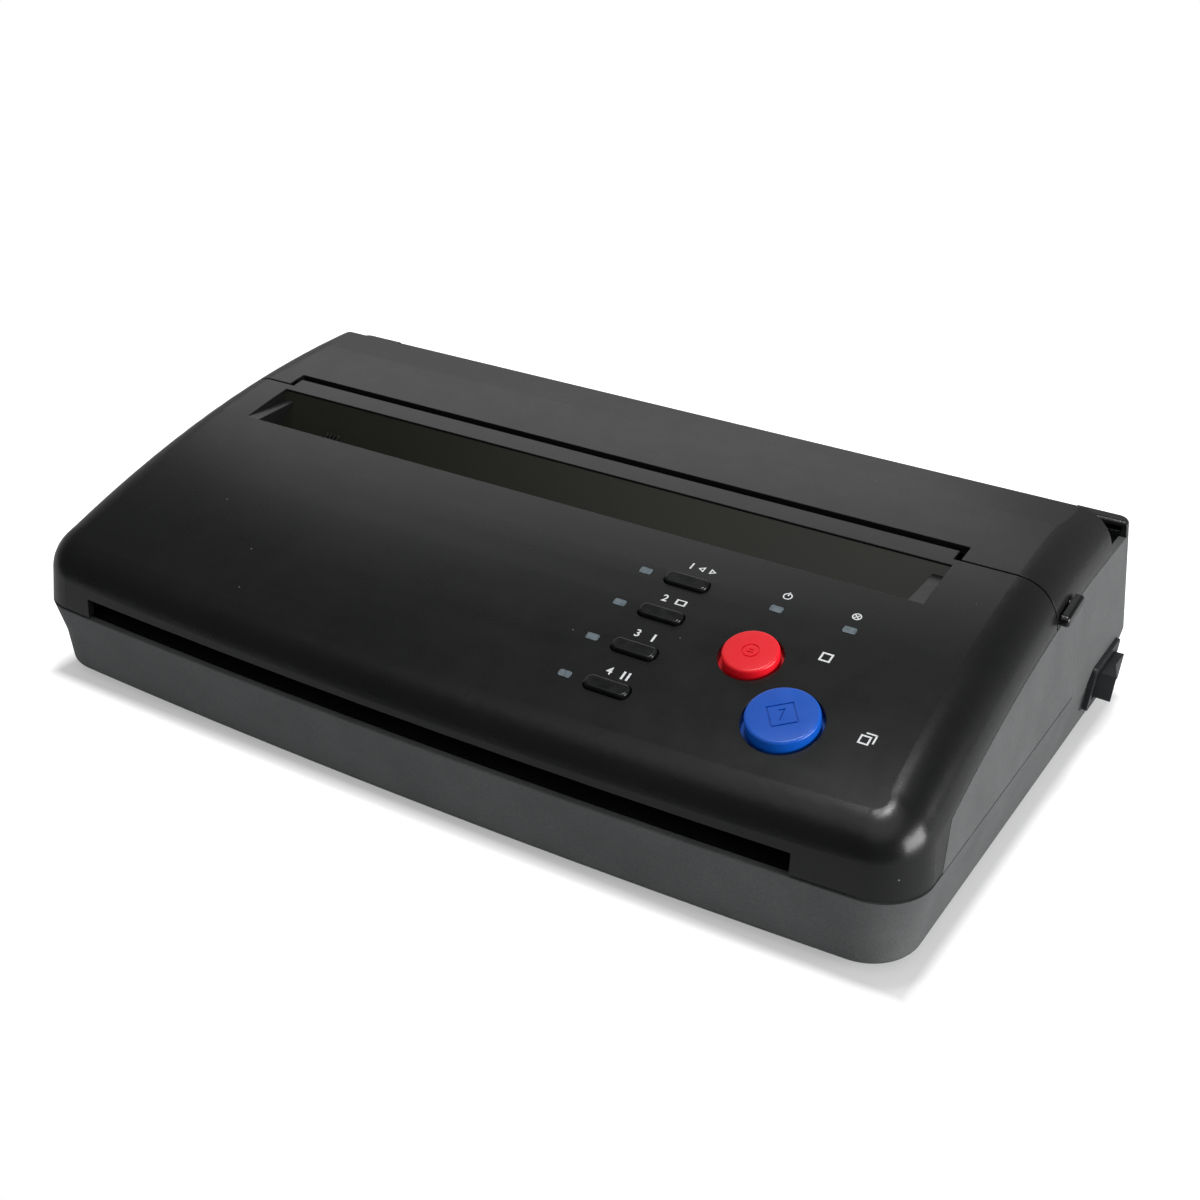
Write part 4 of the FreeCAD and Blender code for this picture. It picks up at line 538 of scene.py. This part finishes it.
# One millimetre straight out of the panel
up = panelSpace.to_3x3() @ Vector((0, 0, 1))
flipped = [face for face in marks.faces if face.normal.dot(up) < 0]
bmesh.ops.reverse_faces(marks, faces=flipped)
grown = bmesh.ops.extrude_face_region(marks, geom=marks.faces[:], use_keep_orig=True)
lifted = [item for item in grown["geom"] if isinstance(item, bmesh.types.BMVert)]
bmesh.ops.translate(marks, vec=up * ink["thick"], verts=lifted)
bmesh.ops.recalc_face_normals(marks, faces=marks.faces)
pieceFrom("panelSigns", marks, screenInk, "base")
print("panel signs printed")

# Head springs: closed coils of round wire where the frame has plain sleeves
spring = {"wire": 0.45, "outer": 2.4, "turns": 7.0, "stepsPerTurn": 20, "wireSides": 10}
low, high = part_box("head_springs")
coils = bmesh.new()
middle = spring["outer"] - spring["wire"]
rise = (high.z - low.z) / mm - 2 * spring["wire"]
for x in (low.x / mm + spring["outer"], high.x / mm - spring["outer"]):
    coil = bmesh.new()
    start = Matrix.Translation((middle, 0, spring["wire"])) @ Matrix.Rotation(math.pi / 2, 4, "X")
    bmesh.ops.create_circle(coil, cap_ends=True, segments=spring["wireSides"], radius=spring["wire"],
                            matrix=start)
    steps = int(spring["turns"] * spring["stepsPerTurn"])
    bmesh.ops.spin(coil, geom=coil.faces[:] + coil.edges[:] + coil.verts[:], cent=(0, 0, 0), axis=(0, 0, 1),
                   dvec=(0, 0, rise / steps), angle=math.tau * spring["turns"], steps=steps)
    bmesh.ops.remove_doubles(coil, verts=coil.verts, dist=0.001)
    bmesh.ops.recalc_face_normals(coil, faces=coil.faces)
    place = Matrix.Translation((x * mm, (low.y + high.y) / 2, low.z)) @ Matrix.Scale(mm, 4)
    bmesh.ops.transform(coil, matrix=place, verts=coil.verts)
    holder = bpy.data.meshes.new("coil")
    coil.to_mesh(holder)
    coil.free()
    coils.from_mesh(holder)
    bpy.data.meshes.remove(holder)
springs = pieceFrom("headCoils", coils, springWire, "base")
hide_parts("head_springs")
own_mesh(springs)
print("head springs wound")


def aim(start, target):
    # the turn that makes a camera or a lamp look at its target
    return (Vector(target) - Vector(start)).to_track_quat("-Z", "Y").to_euler()


# The camera stands where the photograph's straight edges put it
photo = {"lensMm": 53.394, "sensorMm": 36.0, "camera": (246.976, -384.7, 284.3),
         "target": (8.826, -2.3, 32.46)}
cameraData = bpy.data.cameras.new("photo camera")
cameraData.lens = photo["lensMm"]
cameraData.sensor_width = photo["sensorMm"]
cameraData.sensor_fit = "HORIZONTAL"
camera = bpy.data.objects.new("photo camera", cameraData)
bpy.context.scene.collection.objects.link(camera)
camera.location = Vector(photo["camera"]) * mm
camera.rotation_euler = aim(photo["camera"], photo["target"])
bpy.context.scene.camera = camera

# A sheet of pale paper under the machine, cut off a hand's width in front of it so that the front stays dark.
# A camera-only glow paints it white from a few millimetres away from the machine, over the lamps' shadow
# there.
# Closer in the glow is weaker, which paints a narrow shade round the machine's foot on top of its real shadow
studio = {"paper": "#c2c2c4", "wideM": 1.2, "frontM": -0.17, "rearM": 0.7, "footprintMm": (138.5, 77.5, 0),
          "glowNear": 0.34, "glowFar": 0.97, "nearMm": 0, "farMm": 7}
floorShape = bmesh.new()
sheetPlace = (Matrix.Translation((0, (studio["frontM"] + studio["rearM"]) / 2, 0))
              @ Matrix.Diagonal((studio["wideM"], studio["rearM"] - studio["frontM"], 1, 1)))
bmesh.ops.create_grid(floorShape, x_segments=1, y_segments=1, size=0.5, matrix=sheetPlace)
floorMesh = bpy.data.meshes.new("studioFloor")
floorShape.to_mesh(floorMesh)
floorShape.free()
floor = bpy.data.objects.new("studioFloor", floorMesh)
bpy.context.scene.collection.objects.link(floor)
floorPaint = bpy.data.materials.new("studio paper")
floorPaint.use_nodes = True
tree = floorPaint.node_tree
tree.nodes.clear()
paper = addNode(tree, "ShaderNodeBsdfDiffuse", {"Color": hexColour(studio["paper"])})
place = addNode(tree, "ShaderNodeTexCoord").outputs["Object"]
mirrored = vectorCalc(tree, "ABSOLUTE", place).outputs["Vector"]
past = vectorCalc(tree, "SUBTRACT", mirrored, Vector(studio["footprintMm"]) * mm).outputs["Vector"]
outside = vectorCalc(tree, "MAXIMUM", past).outputs["Vector"]
away = vectorCalc(tree, "LENGTH", outside).outputs["Value"]
# camera-only glow by distance from the footprint: low close in, a painted shade round the foot; high further
# out, painting over the shadow
glowWithPaintedShade = stretchRange(tree, away, studio["nearMm"] * mm, studio["farMm"] * mm, studio["glowNear"],
                    studio["glowFar"])
ray = addNode(tree, "ShaderNodeLightPath")
seen = calc(tree, "MULTIPLY", ray.outputs["Is Camera Ray"], glowWithPaintedShade)
glow = addNode(tree, "ShaderNodeEmission", {"Color": hexColour("#ffffff"), "Strength": seen})
both = addNode(tree, "ShaderNodeAddShader", {0: paper.outputs["BSDF"], 1: glow.outputs["Emission"]})
addNode(tree, "ShaderNodeOutputMaterial", {"Surface": both.outputs["Shader"]})
floorMesh.materials.append(floorPaint)

# The room: white to the camera and dim grey to dull surfaces. Reflections see a grey sheet low at the rear
# left, a bright ceiling and near dark for the rest
room = {"dim": 0.42, "dark": 0.05, "sheet": 0.3, "sheetFrom": 0.05, "sheetTo": 0.55,
        "sheetTowards": (-0.35, 0.85, -0.4), "ceiling": 0.9, "ceilingFrom": 0.72, "ceilingTo": 0.96,
        "ceilingTowards": (0.1, -0.35, 0.93)}
world = bpy.data.worlds.new("studio")
bpy.context.scene.world = world
world.use_nodes = True
tree = world.node_tree
tree.nodes.clear()
ray = addNode(tree, "ShaderNodeLightPath")
towards = addNode(tree, "ShaderNodeTexCoord").outputs["Generated"]
sheetWay = Vector(room["sheetTowards"]).normalized()
ceilingWay = Vector(room["ceilingTowards"]).normalized()
facing = vectorCalc(tree, "DOT_PRODUCT", towards, sheetWay).outputs["Value"]
sheet = stretchRange(tree, facing, room["sheetFrom"], room["sheetTo"], room["dark"], room["sheet"],
                     interpolation_type="SMOOTHSTEP")
upwards = vectorCalc(tree, "DOT_PRODUCT", towards, ceilingWay).outputs["Value"]
ceiling = stretchRange(tree, upwards, room["ceilingFrom"], room["ceilingTo"], 0.0, room["ceiling"],
                       interpolation_type="SMOOTHSTEP")
pale = calc(tree, "ADD", sheet, ceiling)
mirrorRay = calc(tree, "MAXIMUM", ray.outputs["Is Glossy Ray"], ray.outputs["Is Transmission Ray"])
lit = addNode(tree, "ShaderNodeMix", {"Factor": mirrorRay, "A": room["dim"], "B": pale}, data_type="FLOAT")
shown = addNode(tree, "ShaderNodeMix", {"Factor": ray.outputs["Is Camera Ray"], "A": lit.outputs["Result"],
                                        "B": 1.0}, data_type="FLOAT")
sky = addNode(tree, "ShaderNodeBackground", {"Color": hexColour("#ffffff"),
                                             "Strength": shown.outputs["Result"]})
addNode(tree, "ShaderNodeOutputWorld", {"Surface": sky.outputs["Background"]})

# Each lamp's name, place, aim, width and length in metres, and watts
lamps = [("overhead softbox", (0.02, 0.02, 1.3), (0.02, 0.0, 0.0), (0.2, 0.2), 5.2),
         ("rear left softbox", (-0.8, 1.1, 1.0), (0.0, 0.0, 0.03), (1.2, 0.8), 2.2),
         ("right softbox", (1.25, 0.0, 0.25), (0.1, 0.0, 0.03), (0.9, 0.5), 15.0)]
for name, at, towards, extent, power in lamps:
    lampData = bpy.data.lights.new(name, "AREA")
    lampData.shape = "RECTANGLE"
    lampData.size, lampData.size_y = extent
    lampData.energy = power
    lamp = bpy.data.objects.new(name, lampData)
    lamp.location = at
    lamp.rotation_euler = aim(at, towards)
    bpy.context.scene.collection.objects.link(lamp)
bpy.context.scene.view_settings.view_transform = "Standard"
print("studio set")
